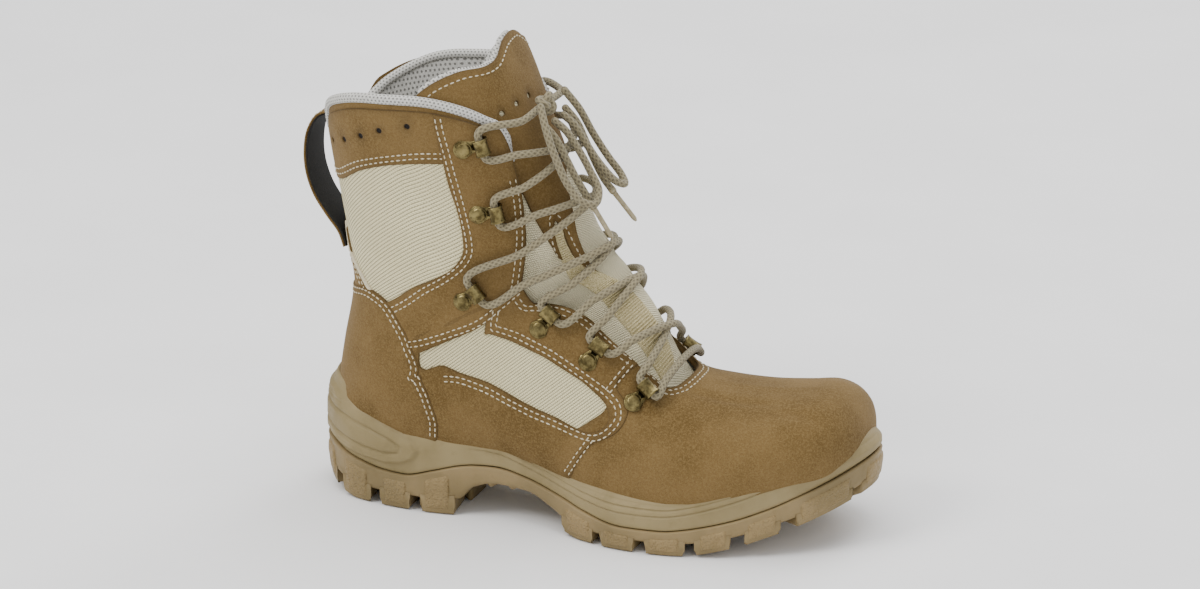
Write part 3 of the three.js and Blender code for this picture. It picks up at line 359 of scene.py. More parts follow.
def along(table, at, even=False):
    at = np.asarray(at, float)
    keys, columns = table[:, 0], table[:, 1:]
    steps = np.diff(columns, axis=0) / np.diff(keys)[:, None]
    i = np.clip(np.searchsorted(keys, at, side="left"), 1, len(keys) - 1)
    middle = steps[i - 1]
    before, after = steps[np.maximum(i - 2, 0)], steps[np.minimum(i, len(steps) - 1)]

    def meet(p, q):
        if not even:
            return (p + q) / 2
        return np.where(p * q <= 0, 0, 2 * p * q / np.where(p + q == 0, 1, p + q))

    span = (keys[i] - keys[i - 1])[..., None]
    t = (at[..., None] - keys[i - 1][..., None]) / span
    start, finish = meet(before, middle) * span, meet(middle, after) * span
    return ((2 * t**3 - 3 * t**2 + 1) * columns[i - 1] + (t**3 - 2 * t**2 + t) * start
            + (3 * t**2 - 2 * t**3) * columns[i] + (t**3 - t**2) * finish)


def heights(x):
    return along(heightTable, np.clip(x, 0, soleLength), True)


treadLevel, plateLevel, partingLevel, footbedLevel, rimLevel = range(5)


def swing(x):
    return along(swingTable, np.clip(x, 0, soleLength), True)[..., 0]


angles = np.arccos(1 - 2 * outlineTable[:, 0] / soleLength)
byAngle = np.column_stack([angles, (outlineTable[:, 2] - outlineTable[:, 1]) / 2,
                           (outlineTable[:, 2] + outlineTable[:, 1]) / 2])
byAngle = np.vstack([[-byAngle[1, 0], byAngle[1, 1], -byAngle[1, 2]], byAngle,
                     [2 * math.pi - byAngle[-2, 0], byAngle[-2, 1], -byAngle[-2, 2]]])


def unit(vectors):
    return vectors / np.linalg.norm(vectors, axis=-1)[..., None]


def distances(points):
    # how far along a path each of its points is
    return np.concatenate([[0], np.cumsum(np.linalg.norm(np.diff(points, axis=0), axis=1))])


def leftOf(loop):
    # unit vectors in the plane, to the left of a closed loop's direction
    way = np.roll(loop, -1, 0) - np.roll(loop, 1, 0)
    way /= np.maximum(np.linalg.norm(way, axis=1), 1e-6)[:, None]
    return np.column_stack([-way[:, 1], way[:, 0]])


def outline(count, inset=0.0):
    # the sole's edge, from the heel along the outer side to the toe and back
    turn = np.linspace(0, 2 * math.pi, count, endpoint=False)
    angle = np.minimum(turn, 2 * math.pi - turn)
    middle, half = along(byAngle, angle).T
    side = np.where(turn <= math.pi, -1, 1)
    loop = np.column_stack([soleLength * (1 - np.cos(angle)) / 2, middle + side * half])
    return loop + np.asarray(inset)[..., None] * leftOf(loop)


footCurve = outline(480, lastInset)
outerEdge, innerEdge = footCurve[:241], np.vstack([footCurve[:1], footCurve[240:][::-1]])


def footHalf(x, side):
    outer = np.interp(x, outerEdge[:, 0], outerEdge[:, 1])
    inner = np.interp(x, innerEdge[:, 0], innerEdge[:, 1])
    return np.maximum(0, side * (np.where(side < 0, outer, inner) - swing(x)))


sections = np.column_stack([np.arange(len(sectionTable)), sectionTable])
onFootbed = sections[:, 2] == 0
sections[onFootbed, 2] = heights(sections[onFootbed, 1])[:, footbedLevel]


def lastPoint(row, around):
    row, around = np.broadcast_arrays(np.asarray(row, float), np.asarray(around, float))
    around = np.where((around < 0) | (around > 1), around % 1.0, around)
    side = np.where(around <= 0.5, -1, 1)
    up = 1 - np.abs(2 * around - 1)
    backX, backZ, frontX, frontZ, half, widest, low, high = np.moveaxis(along(sections, row), -1, 0)
    backZ = np.where(row < heelRow, heights(backX)[..., footbedLevel], backZ)
    low, high = 2 / low, 2 / high
    foot = np.where(row >= heelRow, 0, np.minimum(footHalf(backX, side), half))
    length = np.hypot(frontX - backX, frontZ - backZ)
    lowArc = 0.9 * widest * length + 0.6 * (half - foot)
    highArc = 0.76 * ((1 - widest) * length + half)
    split = lowArc / (lowArc + highArc)
    limit = np.arccos(np.minimum(foot / half, 0.9995) ** (1 / low))
    angle = np.clip(1 - up / split, 0, 1) * limit
    lowReach = half * np.maximum(np.cos(angle), 0) ** low
    lowRise = widest * (1 - (np.sin(angle) / np.sin(limit)) ** low)
    angle = np.clip((up - split) / (1 - split), 0, 1) * math.pi / 2
    highReach = half * np.maximum(0, np.cos(angle)) ** high
    highRise = widest + (1 - widest) * np.sin(angle) ** high
    reach, rise = np.where(up < split, lowReach, highReach), np.where(up < split, lowRise, highRise)
    x = backX + rise * (frontX - backX)
    return np.stack([x, swing(x) + side * reach, backZ + rise * (frontZ - backZ)], -1)


def lastFrame(row, around):
    # the surface's normal, and its steps for one row and once round
    row, around = np.broadcast_arrays(np.asarray(row, float), np.asarray(around, float))
    step = 1e-3
    shut = row > heelRow + 0.01
    a = np.where(shut, around - step, np.where(around >= 0, np.maximum(around - step, 0), around - step))
    b = np.where(shut, around + step, np.where(around <= 1, np.minimum(around + step, 1), around + step))
    ahead = (lastPoint(row + step, around) - lastPoint(row - step, around)) / (2 * step)
    across = (lastPoint(row, b) - lastPoint(row, a)) / (b - a)[..., None]
    out = np.cross(across, ahead)
    low = (row <= 0) | ((row <= heelRow) & ((around == 0) | (around == 1)))
    out[..., 2] = np.where(low, 0, out[..., 2])
    return unit(out), ahead, across


def lastOffset(row, around, out):
    return lastPoint(row, around) + np.asarray(out)[..., None] * lastFrame(row, around)[0]


# soft dents and folds of the leather: row, around, turn, length, width, depth
creases = [
    (9.6, .27, .5, 34, 5, -.9), (9.1, .30, .55, 30, 4, .6), (8.6, .24, .62, 30, 6, -.7),
    (9.4, .72, -.5, 34, 5, -.9), (8.8, .70, -.55, 30, 5, .6), (8.3, .77, -.6, 26, 6, -.7),
    (7.6, .42, 1.5, 40, 9, -.9), (6.6, .5, 1.55, 44, 8, .5), (5.2, .36, .9, 30, 14, -1.1),
    (4.2, .62, 2.2, 30, 14, -.8), (17.8, .24, .2, 30, 4, -.7), (17.4, .27, .25, 32, 4, .5),
    (18.4, .76, -.2, 32, 5, -.7), (17.6, .73, -.2, 30, 4, .5), (20.6, .33, 1.4, 30, 5, -.6),
    (21.8, .18, .1, 50, 7, -.7), (20.4, .17, -.2, 46, 9, .7), (19.6, .84, .2, 50, 9, -.8), (21.2, .82, .1, 44, 8, .7),
    (14.8, .09, .6, 36, 10, -.7), (13.0, .20, .3, 40, 8, .5), (12.2, .80, -.3, 40, 9, -.6),
    (17.2, .10, .3, 30, 9, -.8), (17.5, .90, -.3, 30, 9, -.7)]
chart = np.array([12.8, 292.0])  # millimetres for one row, and for once round


def creaseDepth(row, around):
    near = np.where(around > 0.5, around - 1, around)
    total = np.zeros(np.broadcast(row, around).shape)
    for creaseRow, creaseAround, turn, long, wide, depth in creases:
        high = (row - creaseRow) * chart[0]
        base = creaseAround - 1 if creaseAround > 0.5 else creaseAround
        across = (near - base) * chart[1]
        if abs(base) > 0.4:
            across = (around - creaseAround) * chart[1]
        u = across * math.cos(turn) + high * math.sin(turn)
        v = high * math.cos(turn) - across * math.sin(turn)
        total = total + depth * np.exp(-(2 * u / long) ** 2 - (2 * v / wide) ** 2)
    return total


def skin(row, around, out):
    return lastOffset(row, around, np.asarray(out) + creaseDepth(np.asarray(row, float), np.asarray(around, float)))


# the tongue bulges through the throat, so it has its own surface
throatTable = np.array([(8.85, .002), (8.95, .07), (9.2, .108), (9.9, .128), (11, .143), (13, .137), (15.3, .143),
                        (17.4, .157), (19, .143), (20.5, .127), (22, .114), (24, .104), (26, .1)])
tongueTable = np.array([(7.8, .1, -2.8, .4), (9, .15, -1, .7), (10.5, .18, 4.4, 1), (13, .185, 5.6, 1),
                        (16, .195, 5.4, 1), (18.5, .2, 3.8, 1), (21, .19, 1.2, 1), (23, .2, 0, 1), (26, .22, 0, .9)])
tongueShape = {"thickness": 6.0, "pillow": 0.5}
tongueTopTable = np.array([(.24, 23.6), (.262, 24.1), (.29, 24.55), (.354, 25), (.42, 25.05), (.45, 25.2), (.475, 25.5),
                           (.5, 25.75), (.53, 25.7), (.56, 25.2), (.63, 24.9), (.70, 24.3), (.74, 23.6)])


def fadeStep(value, low, high):
    t = np.clip((value - low) / (high - low), 0, 1)
    return t * t * (3 - 2 * t)


def tongueRise(row, around):
    opened = along(throatTable, np.maximum(row, 8.85))[..., 0] * 0.86
    crown = np.maximum(0, 1 - ((around - 0.5) / opened) ** 2)
    proud = along(tongueTable, row, True)[..., 1]
    return -wall - 0.9 + np.where(proud < 0, proud, proud * crown ** 0.7)


def tongueSkin(row, around, out):
    row, around = np.broadcast_arrays(np.asarray(row, float), np.asarray(around, float))
    return lastOffset(row, around, tongueRise(row, around) + out)


# Building tools

def ringFaces(rings, count, closed=False):
    # four-sided faces between neighbouring rings, whose points are numbered ring by ring
    faces = []
    for i in range(rings if closed else rings - 1):
        k = (i + 1) % rings
        for j in range(count):
            q = (j + 1) % count
            faces.append((i * count + j, i * count + q, k * count + q, k * count + j))
    return faces


def endCaps(rings, count):
    return [tuple(range(count))[::-1], tuple((rings - 1) * count + j for j in range(count))]


def fannedRings(points, rings, count, low, high):
    # a solid of rings, closed at each end by a fan to a middle point
    points = np.vstack([points, low, high])
    first, last, top = len(points) - 2, len(points) - 1, (rings - 1) * count
    faces = ringFaces(rings, count)
    for j in range(count):
        k = (j + 1) % count
        faces += [(first, k, j), (last, top + j, top + k)]
    return points, faces


def doubleSheet(rows, columns):
    # the front, the edge and the back of two like grids of points, one behind the other
    count, front, back = rows * columns, [], []
    for i in range(rows - 1):
        for j in range(columns - 1):
            a, b = i * columns + j, i * columns + j + 1
            front.append((a, b, b + columns, a + columns))
            back.append((a + count, a + columns + count, b + columns + count, b + count))
    ring = list(range(columns - 1)) + [i * columns + columns - 1 for i in range(rows - 1)]
    ring += [(rows - 1) * columns + j for j in range(columns - 1, 0, -1)]
    ring += [i * columns for i in range(rows - 1, 0, -1)]
    edge = [(b, a, a + count, b + count) for a, b in zip(ring, ring[1:] + ring[:1])]
    return front, edge, back


def addPiece(name, points, faces, finishes, flat=None, cornerFlat=None, under=0, rim=None):
    mesh = bpy.data.meshes.new(name)
    mesh.from_pydata(toFrame(points).tolist(), [], faces)
    for finish in finishes:
        mesh.materials.append(finish)
    if under:
        marks = np.zeros(len(faces), int)
        marks[under:] = 1
        mesh.polygons.foreach_set("material_index", marks)
    if flat is not None or cornerFlat is not None:
        layer = mesh.uv_layers.new(name="flat")
        if cornerFlat is None:
            corner = np.zeros(len(mesh.loops), int)
            mesh.loops.foreach_get("vertex_index", corner)
            cornerFlat = np.asarray(flat)[corner]
        layer.data.foreach_set("uv", np.asarray(cornerFlat, float).ravel())
    if rim is not None:
        mesh.attributes.new("rim", "FLOAT", "POINT").data.foreach_set("value", np.asarray(rim, float))
    mesh.shade_smooth()
    mesh.update()
    piece = bpy.data.objects.new(name, mesh)
    scene.collection.objects.link(piece)
    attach(piece, "root")
    return piece


def resampled(points, step):
    far = distances(points)
    count = max(2, int(round(far[-1] / step)) + 1)
    at = np.linspace(0, far[-1], count)
    return np.column_stack([np.interp(at, far, column) for column in points.T])


def curveThrough(points, step, closed=False):
    # a smooth curve through points, as evenly spaced points
    p = np.asarray(points, float)
    if closed:
        p = np.vstack([p[-2:], p, p[:3]])
    gaps = np.linalg.norm(np.diff(p, axis=0), axis=1)
    slopes = np.diff(p, axis=0) / gaps[:, None]
    tangents = np.vstack([slopes[:1], (slopes[:-1] * gaps[1:, None] + slopes[1:] * gaps[:-1, None])
                          / (gaps[1:] + gaps[:-1])[:, None], slopes[-1:]])
    fine = []
    first, last = (2, len(p) - 3) if closed else (0, len(p) - 1)
    for i in range(first, last):
        t = np.linspace(0, 1, max(3, int(gaps[i] / step * 4)), endpoint=False)[:, None]
        fine.append((2 * t**3 - 3 * t**2 + 1) * p[i] + (t**3 - 2 * t**2 + t) * tangents[i] * gaps[i]
                    + (3 * t**2 - 2 * t**3) * p[i + 1] + (t**3 - t**2) * tangents[i + 1] * gaps[i])
    fine.append(p[last][None])
    return resampled(np.vstack(fine), step)


def outlineThrough(points, step=1.5):
    # a closed outline on the chart; a third value makes a corner of a point
    flat = np.array([(p[0], p[1]) for p in points]) * chart
    corners = [i for i, p in enumerate(points) if len(p) > 2]
    if not corners:
        return curveThrough(flat, step, closed=True)[:-1] / chart
    flat = np.roll(flat, -corners[0], axis=0)
    flat = np.vstack([flat, flat[:1]])
    stops = [c - corners[0] for c in corners] + [len(points)]
    parts = [curveThrough(flat[a:b + 1], step)[:-1] for a, b in zip(stops, stops[1:])]
    return np.vstack(parts) / chart


def pathThrough(points, step=1.2):
    return curveThrough(np.array(points)[:, :2] * chart, step) / chart


def moved(path, amount, surface, closed=True):
    # a path moved sideways over a surface, to the left of its direction
    row, around = path[:, 0], path[:, 1]
    small = 2e-3
    here = surface(row, around, 0.0)
    byRow = (surface(row + small, around, 0.0) - here) / small
    byAround = (surface(row, around + small, 0.0) - here) / small
    normal = unit(np.cross(byAround, byRow))
    way = np.roll(here, -1, 0) - np.roll(here, 1, 0) if closed else np.gradient(here, axis=0)
    side = np.cross(normal, way)
    side *= amount / np.linalg.norm(side, axis=1)[:, None]
    rr, ra, aa = (byRow * byRow).sum(1), (byRow * byAround).sum(1), (byAround * byAround).sum(1)
    dr, da = (byRow * side).sum(1), (byAround * side).sum(1)
    scale = rr * aa - ra * ra
    shift = np.column_stack([(dr * aa - da * ra) / scale, (da * rr - dr * ra) / scale])
    far = np.linalg.norm(shift * chart, axis=1) / (abs(amount) * 2.2)
    shift /= np.maximum(far, 1)[:, None]
    if not closed and len(shift) > 8:
        for _ in range(3):
            shift[1:-1] = (shift[:-2] + shift[1:-1] * 2 + shift[2:]) / 4
    return path + shift


def insideOf(loops, points):
    inside = np.zeros(len(points), bool)
    for loop in loops:
        x, y = points[:, 1], points[:, 0]
        for a, b in zip(loop, np.roll(loop, -1, 0)):
            crosses = (a[0] > y) != (b[0] > y)
            if crosses.any():
                inside ^= crosses & (x < (b[1] - a[1]) * (y - a[0]) / (b[0] - a[0] + 1e-12) + a[1])
    return inside


def panelSolid(outlines, bottom, top, surface, edge, spacing, step=1.5):
    # a closed sheet with rounded edges over a surface: outlines are the edge, and then any holes in it
    loops = []
    for k, outlinePoints in enumerate(outlines):
        loop = outlinePoints if isinstance(outlinePoints, np.ndarray) else outlineThrough(outlinePoints, step)
        row, around = loop.T
        turns = (around * np.roll(row, -1) - np.roll(around, -1) * row).sum()
        loops.append(loop[::-1] if (turns < 0) == (k == 0) else loop)
    inner = [moved(loop, edge, surface) for loop in loops]
    shoulder = [moved(loop, edge * 0.3, surface) for loop in loops]
    ring = np.vstack(inner)
    low, high = loops[0].min(0), loops[0].max(0)
    rows = np.arange(low[0], high[0], spacing * 0.87 / chart[0])
    columns = np.arange(low[1], high[1], spacing / chart[1])
    grid = np.array([(r, a + (i % 2) * 0.5 * spacing / chart[1]) for i, r in enumerate(rows) for a in columns])
    grid = grid[insideOf(inner, grid)]
    if len(grid):
        away = np.full(len(grid), np.inf)
        for point in ring:
            away = np.minimum(away, (((grid - point) * chart) ** 2).sum(1))
        grid = grid[away > (0.6 * spacing) ** 2]
    flat = np.vstack([ring, grid]) if len(grid) else ring
    edges, start = [], 0
    for loop in inner:
        n = len(loop)
        edges += [(start + i, start + (i + 1) % n) for i in range(n)]
        start += n
    made = delaunay_2d_cdt([Vector(p) for p in (flat * chart)[:, ::-1].tolist()], edges, [], 0, 1e-5)
    flat = np.array([(v.y, v.x) for v in made[0]]) / chart
    place = {}
    for new, olds in enumerate(made[3]):
        for old in olds:
            place[old] = new
    triangles = np.array([f for f in made[2]])
    triangles = triangles[insideOf(inner, flat[triangles].mean(1))]
    count = len(flat)
    shell = [surface(flat[:, 0], flat[:, 1], top), surface(flat[:, 0], flat[:, 1], bottom)]
    maps, rim = [flat, flat], [np.zeros(count), np.zeros(count)]
    faces = triangles.tolist()
    below = (triangles[:, ::-1] + count).tolist()
    base, start = 2 * count, 0
    for loop, mid in zip(loops, shoulder):
        n = len(loop)
        thick = top - bottom
        levels = [(mid, bottom + 0.86 * thick), (loop, bottom + 0.5 * thick), (loop, bottom)]
        for path, out in levels:
            shell.append(surface(path[:, 0], path[:, 1], out))
            maps.append(path)
            rim.append(np.ones(n))
        for i in range(n):
            j = (i + 1) % n
            a, b = place[start + i], place[start + j]
            rim[0][a] = 0.45
            strip = [(a, b), (base + i, base + j), (base + n + i, base + n + j),
                     (base + 2 * n + i, base + 2 * n + j), (a + count, b + count)]
            for (p, q), (r, s) in zip(strip, strip[1:]):
                faces.append((q, p, r, s))
        base += 3 * n
        start += n
    flatMap = np.vstack(maps)[:, ::-1] * chart[::-1] * 0.001
    return np.vstack(shell), faces + below, len(faces), flatMap, np.concatenate(rim)


def addPanel(name, outlines, bottom, top, finish, slot, surface=skin, edge=0.6, spacing=2.7, under=None, step=1.5,
             weave=None):
    points, faces, tops, flat, rim = panelSolid(outlines, bottom, top, surface, edge, spacing, step)
    if weave:
        # the cloth is cut with its threads level, seen from the side or round the shaft
        flat = np.column_stack([points[:, 0] / 1000 if weave == "side" else flat[:, 0], points[:, 2] / 1000])
    finishes = [finish, under] if under else [finish]
    return addPiece(name, points, faces, finishes, flat=flat, under=tops if under else 0, rim=rim)


def mirrored(points):
    return [(p[0], 1 - p[1], *p[2:]) for p in points][::-1]


def bothSides(points):
    # an outline given from one end of the back or front middle line to the other, closed over it
    if isinstance(points, np.ndarray):
        points = points.tolist()
    return points + [(p[0], -p[1], *p[2:]) for p in points[::-1] if abs(p[1]) > 1e-6]


def sweep(points, radius, sides=12):
    # a round tube along a path, with rounded ends; gives points, faces and a flat map in metres and turns
    p = np.asarray(points, float)
    way = unit(np.gradient(p, axis=0))
    up = np.cross(way[0], (0.3, 0.9, 0.2))
    ups = []
    for t in way:
        up = up - t * np.dot(up, t)
        up = up / np.linalg.norm(up)
        ups.append(up)
    ups = np.array(ups)
    sideways = np.cross(way, ups)
    radii = np.full(len(p), float(radius)) if np.isscalar(radius) else np.asarray(radius, float)
    # three smaller rings past each end round it off
    narrow, past = np.array([0.94, 0.76, 0.42]), np.array([0.34, 0.65, 0.9])[:, None]
    centres = np.vstack([p[0] - way[0] * radii[0] * past[::-1], p, p[-1] + way[-1] * radii[-1] * past])
    widths = np.concatenate([radii[0] * narrow[::-1], radii, radii[-1] * narrow])
    ups, sideways = (np.pad(axes, ((3, 3), (0, 0)), "edge") for axes in (ups, sideways))
    turn = np.linspace(0, 2 * math.pi, sides, endpoint=False)
    rings = (centres[:, None] + widths[:, None, None] * (np.cos(turn)[None, :, None] * ups[:, None]
                                                        + np.sin(turn)[None, :, None] * sideways[:, None]))
    far = distances(centres) * 0.001
    flat = []
    for here, there in zip(far[:-1], far[1:]):
        for j in range(sides):
            low, high = j / sides, (j + 1) / sides
            flat += [(here, low), (here, high), (there, high), (there, low)]
    flat += [(far[0], 0.0)] * sides + [(far[-1], 0.0)] * sides
    return rings.reshape(-1, 3), ringFaces(len(centres), sides) + endCaps(len(centres), sides), flat


def joined(parts):
    # several solids' points, faces and flat maps as one
    points, faces, flat, start = [], [], [], 0
    for part in parts:
        points.append(part[0])
        faces += [tuple(i + start for i in f) for f in part[1]]
        flat += part[2] if len(part) > 2 else [(0.0, 0.0)] * sum(len(f) for f in part[1])
        start += len(part[0])
    return np.vstack(points), faces, flat


print("tools ready")


# Hooks and eyelets: where each rivet sits, and where its ring is

hardwareTable = [
    ("hook_top", 22.4, .314, 22.45, .342, True), ("hook_middle", 20.43, .306, 20.4, .332, True),
    ("hook_ankle", 17.9, .272, 18.05, .292, True), ("eyelet_top", 14.2, .314, 14.5, .342, False),
    ("eyelet_middle", 11.9, .3, 12, .332, False), ("eyelet_bottom", 10, .284, 9.85, .322, False)]
hardware = {"rivet": 4.5, "dome": 3.9, "plate": 5.1, "thick": 1.0, "reach": 9.4, "bore": 2.6, "tube": 3.8, "long": 8.6}


def rivetFrame(spec, side):
    name, row, around, ringRow, ringAround, opened = spec
    if side > 0:
        around, ringAround = 1 - around, 1 - ringAround
    at, ring = lastPoint(row, around), lastPoint(ringRow, ringAround)
    out = lastFrame(row, around)[0] + lastFrame(ringRow, ringAround)[0]
    out /= np.linalg.norm(out)
    toRing = ring - at
    lift = max(0.0, float(toRing @ out))
    toRing = toRing - out * (toRing @ out)
    toRing /= np.linalg.norm(toRing)
    return at + out * (1.1 + lift), np.array([toRing, np.cross(out, toRing), out])


def inRivetFrame(spec, side, points):
    at, axes = rivetFrame(spec, side)
    return at + np.asarray(points, float) @ axes


def lathe(profile, segments=28):
    # a closed turned solid about z, from its lower centre to its upper centre
    turn = np.linspace(0, 2 * math.pi, segments, endpoint=False)
    inner = [p for p in profile if p[0] > 0]
    points = [(r * math.cos(t), r * math.sin(t), z) for r, z in inner for t in turn]
    return fannedRings(points, len(inner), segments, (0, 0, profile[0][1]), (0, 0, profile[-1][1]))


def slab(loop, levels):
    # a flat plate: its outline drawn in and lifted by each level's inset and height
    loop = np.asarray(loop, float)
    n, inward, middle = len(loop), leftOf(loop), loop.mean(0)
    points = np.vstack([np.column_stack([loop + inward * inset, np.full(n, z)]) for inset, z in levels])
    return fannedRings(points, len(levels), n, (*middle, levels[0][1]), (*middle, levels[-1][1]))


def rolledTube(opened):
    # the ring is rolled from sheet along y, over the end of the plate; its mouths flare a little
    h = hardware
    start = -0.5 * math.pi
    sweepAngle = 1.32 * math.pi if opened else 2 * math.pi
    count = 30
    turn = start + np.linspace(0, sweepAngle, count + (1 if opened else 0), endpoint=opened)
    half = h["long"] / 2
    section = [(half * y, flare, which) for y, flare, which in (
        (-1, .5, 1), (-.86, .3, 1), (-.6, .04, 1), (0, 0, 1), (.6, .04, 1), (.86, .3, 1), (1, .5, 1), (1.04, .2, .5),
        (1, .35, 0), (.82, .15, 0), (.5, 0, 0), (-.5, 0, 0), (-.82, .15, 0), (-1, .35, 0), (-1.04, .2, .5))]
    points = []
    for t in turn:
        for y, flare, outer in section:
            r = h["bore"] + (h["tube"] - h["bore"]) * outer + flare
            points.append((h["reach"] + r * math.cos(t), y, h["tube"] + 0.02 + r * math.sin(t)))
    faces = ringFaces(len(turn), len(section), closed=not opened)
    if opened:
        faces += endCaps(len(turn), len(section))
    return np.array(points, float), faces


def hardwareSolid(opened):
    h = hardware
    turn = np.linspace(math.pi / 2, 1.5 * math.pi, 18)
    back = [(h["plate"] * math.cos(t), h["plate"] * math.sin(t)) for t in turn]
    neck = [(2.6, -3.9), (5.2, -3.0), (7.2, -3.1), (9.2, -3.5), (9.4, -3.3), (9.4, 3.3), (9.2, 3.5), (7.2, 3.1),
            (5.2, 3.0), (2.6, 3.9)]
    loop = np.vstack([back, neck])
    plate = slab(loop, [(0.15, 0), (0, 0.2), (0, h["thick"] - 0.3), (0.3, h["thick"])])
    r, d, t = h["rivet"], h["dome"], h["thick"]
    rivet = lathe([(0, 0.3), (r - 0.2, 0.3), (r, t + 0.1), (r, t + 0.4), (r - 0.25, t + 0.62), (d + 0.25, t + 0.66),
                   (d + 0.02, t + 0.5), (d - 0.2, t + 0.95), (d * .86, t + 1.35), (d * .62, t + 1.62),
                   (d * .3, t + 1.76), (0, t + 1.8)])
    return joined([plate, rivet, rolledTube(opened)])


for spec in hardwareTable:
    for label, side in (("lateral", -1), ("medial", 1)):
        points, faces, flat = hardwareSolid(spec[5])
        piece = addPiece(f"{spec[0]}_{label}_metal", inRivetFrame(spec, side, points), faces, [brass])
        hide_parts(f"{spec[0]}_{label}")
print("hooks and eyelets made")


# Laces

lace = {"radius": 2.0, "lift": 5.4, "over": 2.3, "under": -0.5, "step": 1.3}
knot = {"row": 23, "around": .486, "out": 6, "radius": 4.6, "wide": 1.35}
crossingLifts = [0, .35, .45, .15, -.1]
knotCentre = lastOffset(knot["row"], knot["around"], knot["out"])


def ringMouth(index, side, end, clear=1.2):
    spec = hardwareTable[index]
    reach = hardware["long"] / 2 + clear
    edge = end * reach if side < 0 else -end * reach
    at = inRivetFrame(spec, side, (hardware["reach"], edge, hardware["tube"]))
    around = spec[4] if side < 0 else 1 - spec[4]
    perRow = np.linalg.norm(lastPoint(spec[3] + .5, around) - lastPoint(spec[3] - .5, around))
    return at, spec[3] + end * reach / perRow, around


def throughRing(index, side):
    # the lace inside a ring, from its upper to its lower mouth
    spec = hardwareTable[index]
    ys = np.array([0.7, 0, -0.7]) * hardware["long"] / 2 * (1 if side < 0 else -1)
    return [inRivetFrame(spec, side, (hardware["reach"], y, hardware["tube"])) for y in ys]


def laceRun(start, stop, lift, hump):
    points = []
    for t in (.16, .28, .4, .5, .6, .72, .84):
        row = start[1] + (stop[1] - start[1]) * t + lift * math.sin(math.pi * t)
        around = start[2] + (stop[2] - start[2]) * t
        ride = lace["lift"] + hump * math.exp(-((t - .5) / .13) ** 2)
        if t in (.16, .84):
            ride += 0.4
        points.append(lastOffset(row, around, ride))
    return points


def laceRoute():
    lead = []
    for side in (-1, 1):
        end = knotCentre + np.array([-2, side * (knot["radius"] * knot["wide"] - 1.5), -1.5])
        middle = lastOffset(knot["row"] - .15, .5 + side * .075, lace["lift"])
        lead.append([end, middle])
    down, up = [*lead[0]], []
    for start, route in ((-1, down), (1, up)):
        side = start
        for index in range(6):
            route += [ringMouth(index, side, 1)[0], *throughRing(index, side), ringMouth(index, side, -1)[0]]
            if index < 5:
                hump = lace["over"] if (side < 0) == (index % 2 == 0) else lace["under"]
                route += laceRun(ringMouth(index, side, -1), ringMouth(index + 1, -side, 1), crossingLifts[index], hump)
                side = -side
    bar = laceRun(ringMouth(5, 1, -1), ringMouth(5, -1, -1), .1, 0)
    return down + bar + up[::-1] + lead[1][::-1]


lacePath = curveThrough(laceRoute(), lace["step"])
points, faces, flat = sweep(lacePath, lace["radius"], 12)
laced = addPiece("lace_run", points, faces, [braid], cornerFlat=flat)
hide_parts("lace_bar_toe", "lace_cross_collar", "lace_cross_shaft", "lace_cross_ankle", "lace_cross_instep",
            "lace_cross_vamp", "lace_lead_lateral", "lace_lead_medial")

# the bow's two loops and two ends, over the last: row, around, out
bowRoutes = {
    "loop_near": [(23.05, .454, 10.4), (22.3, .441, 12.5), (21.35, .438, 12.5), (20.5, .441, 12.5), (19.85, .45, 13.6),
                  (19.55, .466, 14.8), (19.85, .482, 14.8), (20.6, .489, 13), (21.4, .487, 12), (22.05, .481, 11),
                  (22.4, .476, 9)],
    "loop_far": [(23.05, .52, 10.4), (22.3, .535, 12.5), (21.35, .552, 14), (20.5, .558, 17.5), (19.85, .556, 20.5),
                 (19.5, .544, 20.5), (19.75, .53, 17.5), (20.5, .52, 14), (21.3, .512, 12), (22.05, .504, 11),
                 (22.4, .5, 9)],
    "end_near": [(22.42, .456, 7.4), (22, .458, 9.8), (21.3, .462, 9.9), (20.6, .465, 9.9), (19.95, .47, 10),
                 (19.4, .473, 10.4)],
    "end_far": [(22.5, .52, 7.4), (22, .525, 9.8), (21.3, .533, 9.9), (20.6, .538, 10.2), (19.95, .54, 11.4),
                (19.4, .54, 13.4)]}


def knotMesh():
    # a small overhand knot: two turns that pass through each other, pulled flat
    out, ahead, across = lastFrame(knot["row"], knot["around"])
    across = across / np.linalg.norm(across)
    up = np.cross(out, across)
    t = np.linspace(0, 2 * math.pi, 120)
    size = 1.85
    x, y, z = np.sin(t) + 2 * np.sin(2 * t), np.cos(t) - 2 * np.cos(2 * t), -np.sin(3 * t)
    path = (knotCentre + size * 1.05 * x[:, None] * across + size * .82 * y[:, None] * up
            + size * .95 * z[:, None] * out)
    return sweep(path, 2.05, 12)


points, faces, flat = knotMesh()
knotPiece = addPiece("lace_knot_tied", points, faces, [braid], cornerFlat=flat)
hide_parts("lace_knot")

for name, rows in bowRoutes.items():
    rows = np.array(rows)
    path = curveThrough(lastOffset(rows[:, 0], rows[:, 1], rows[:, 2]), lace["step"])
    points, faces, flat = sweep(path, lace["radius"] if "loop" in name else lace["radius"] * .97, 12)
    cord = addPiece(f"lace_{name}_cord", points, faces, [braid], cornerFlat=flat)
    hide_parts(f"lace_{name}")
    along3d = [tuple(p) for p in toFrame(path[::2])] + [tuple(toFrame(path[-1]))]
    if "loop" in name:
        continue
    way = path[-1] - path[-4]
    way /= np.linalg.norm(way)
    far = np.array([-2.2, -1.4, 0, .5, 2, 6, 12, 17, 18.2, 18.9])
    wide = np.array([1.9, 2.02, 1.95, 1.5, 1.34, 1.3, 1.3, 1.28, 1.1, .7])
    tip = sweep(path[-1] + way * (far[:, None] + .4), wide, 14)
    tipPiece = addPiece(name.replace("end", "aglet") + "_tip", tip[0], tip[1], [aglet], cornerFlat=tip[2])
    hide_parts(name.replace("end", "aglet"))
print("laces and bow made")


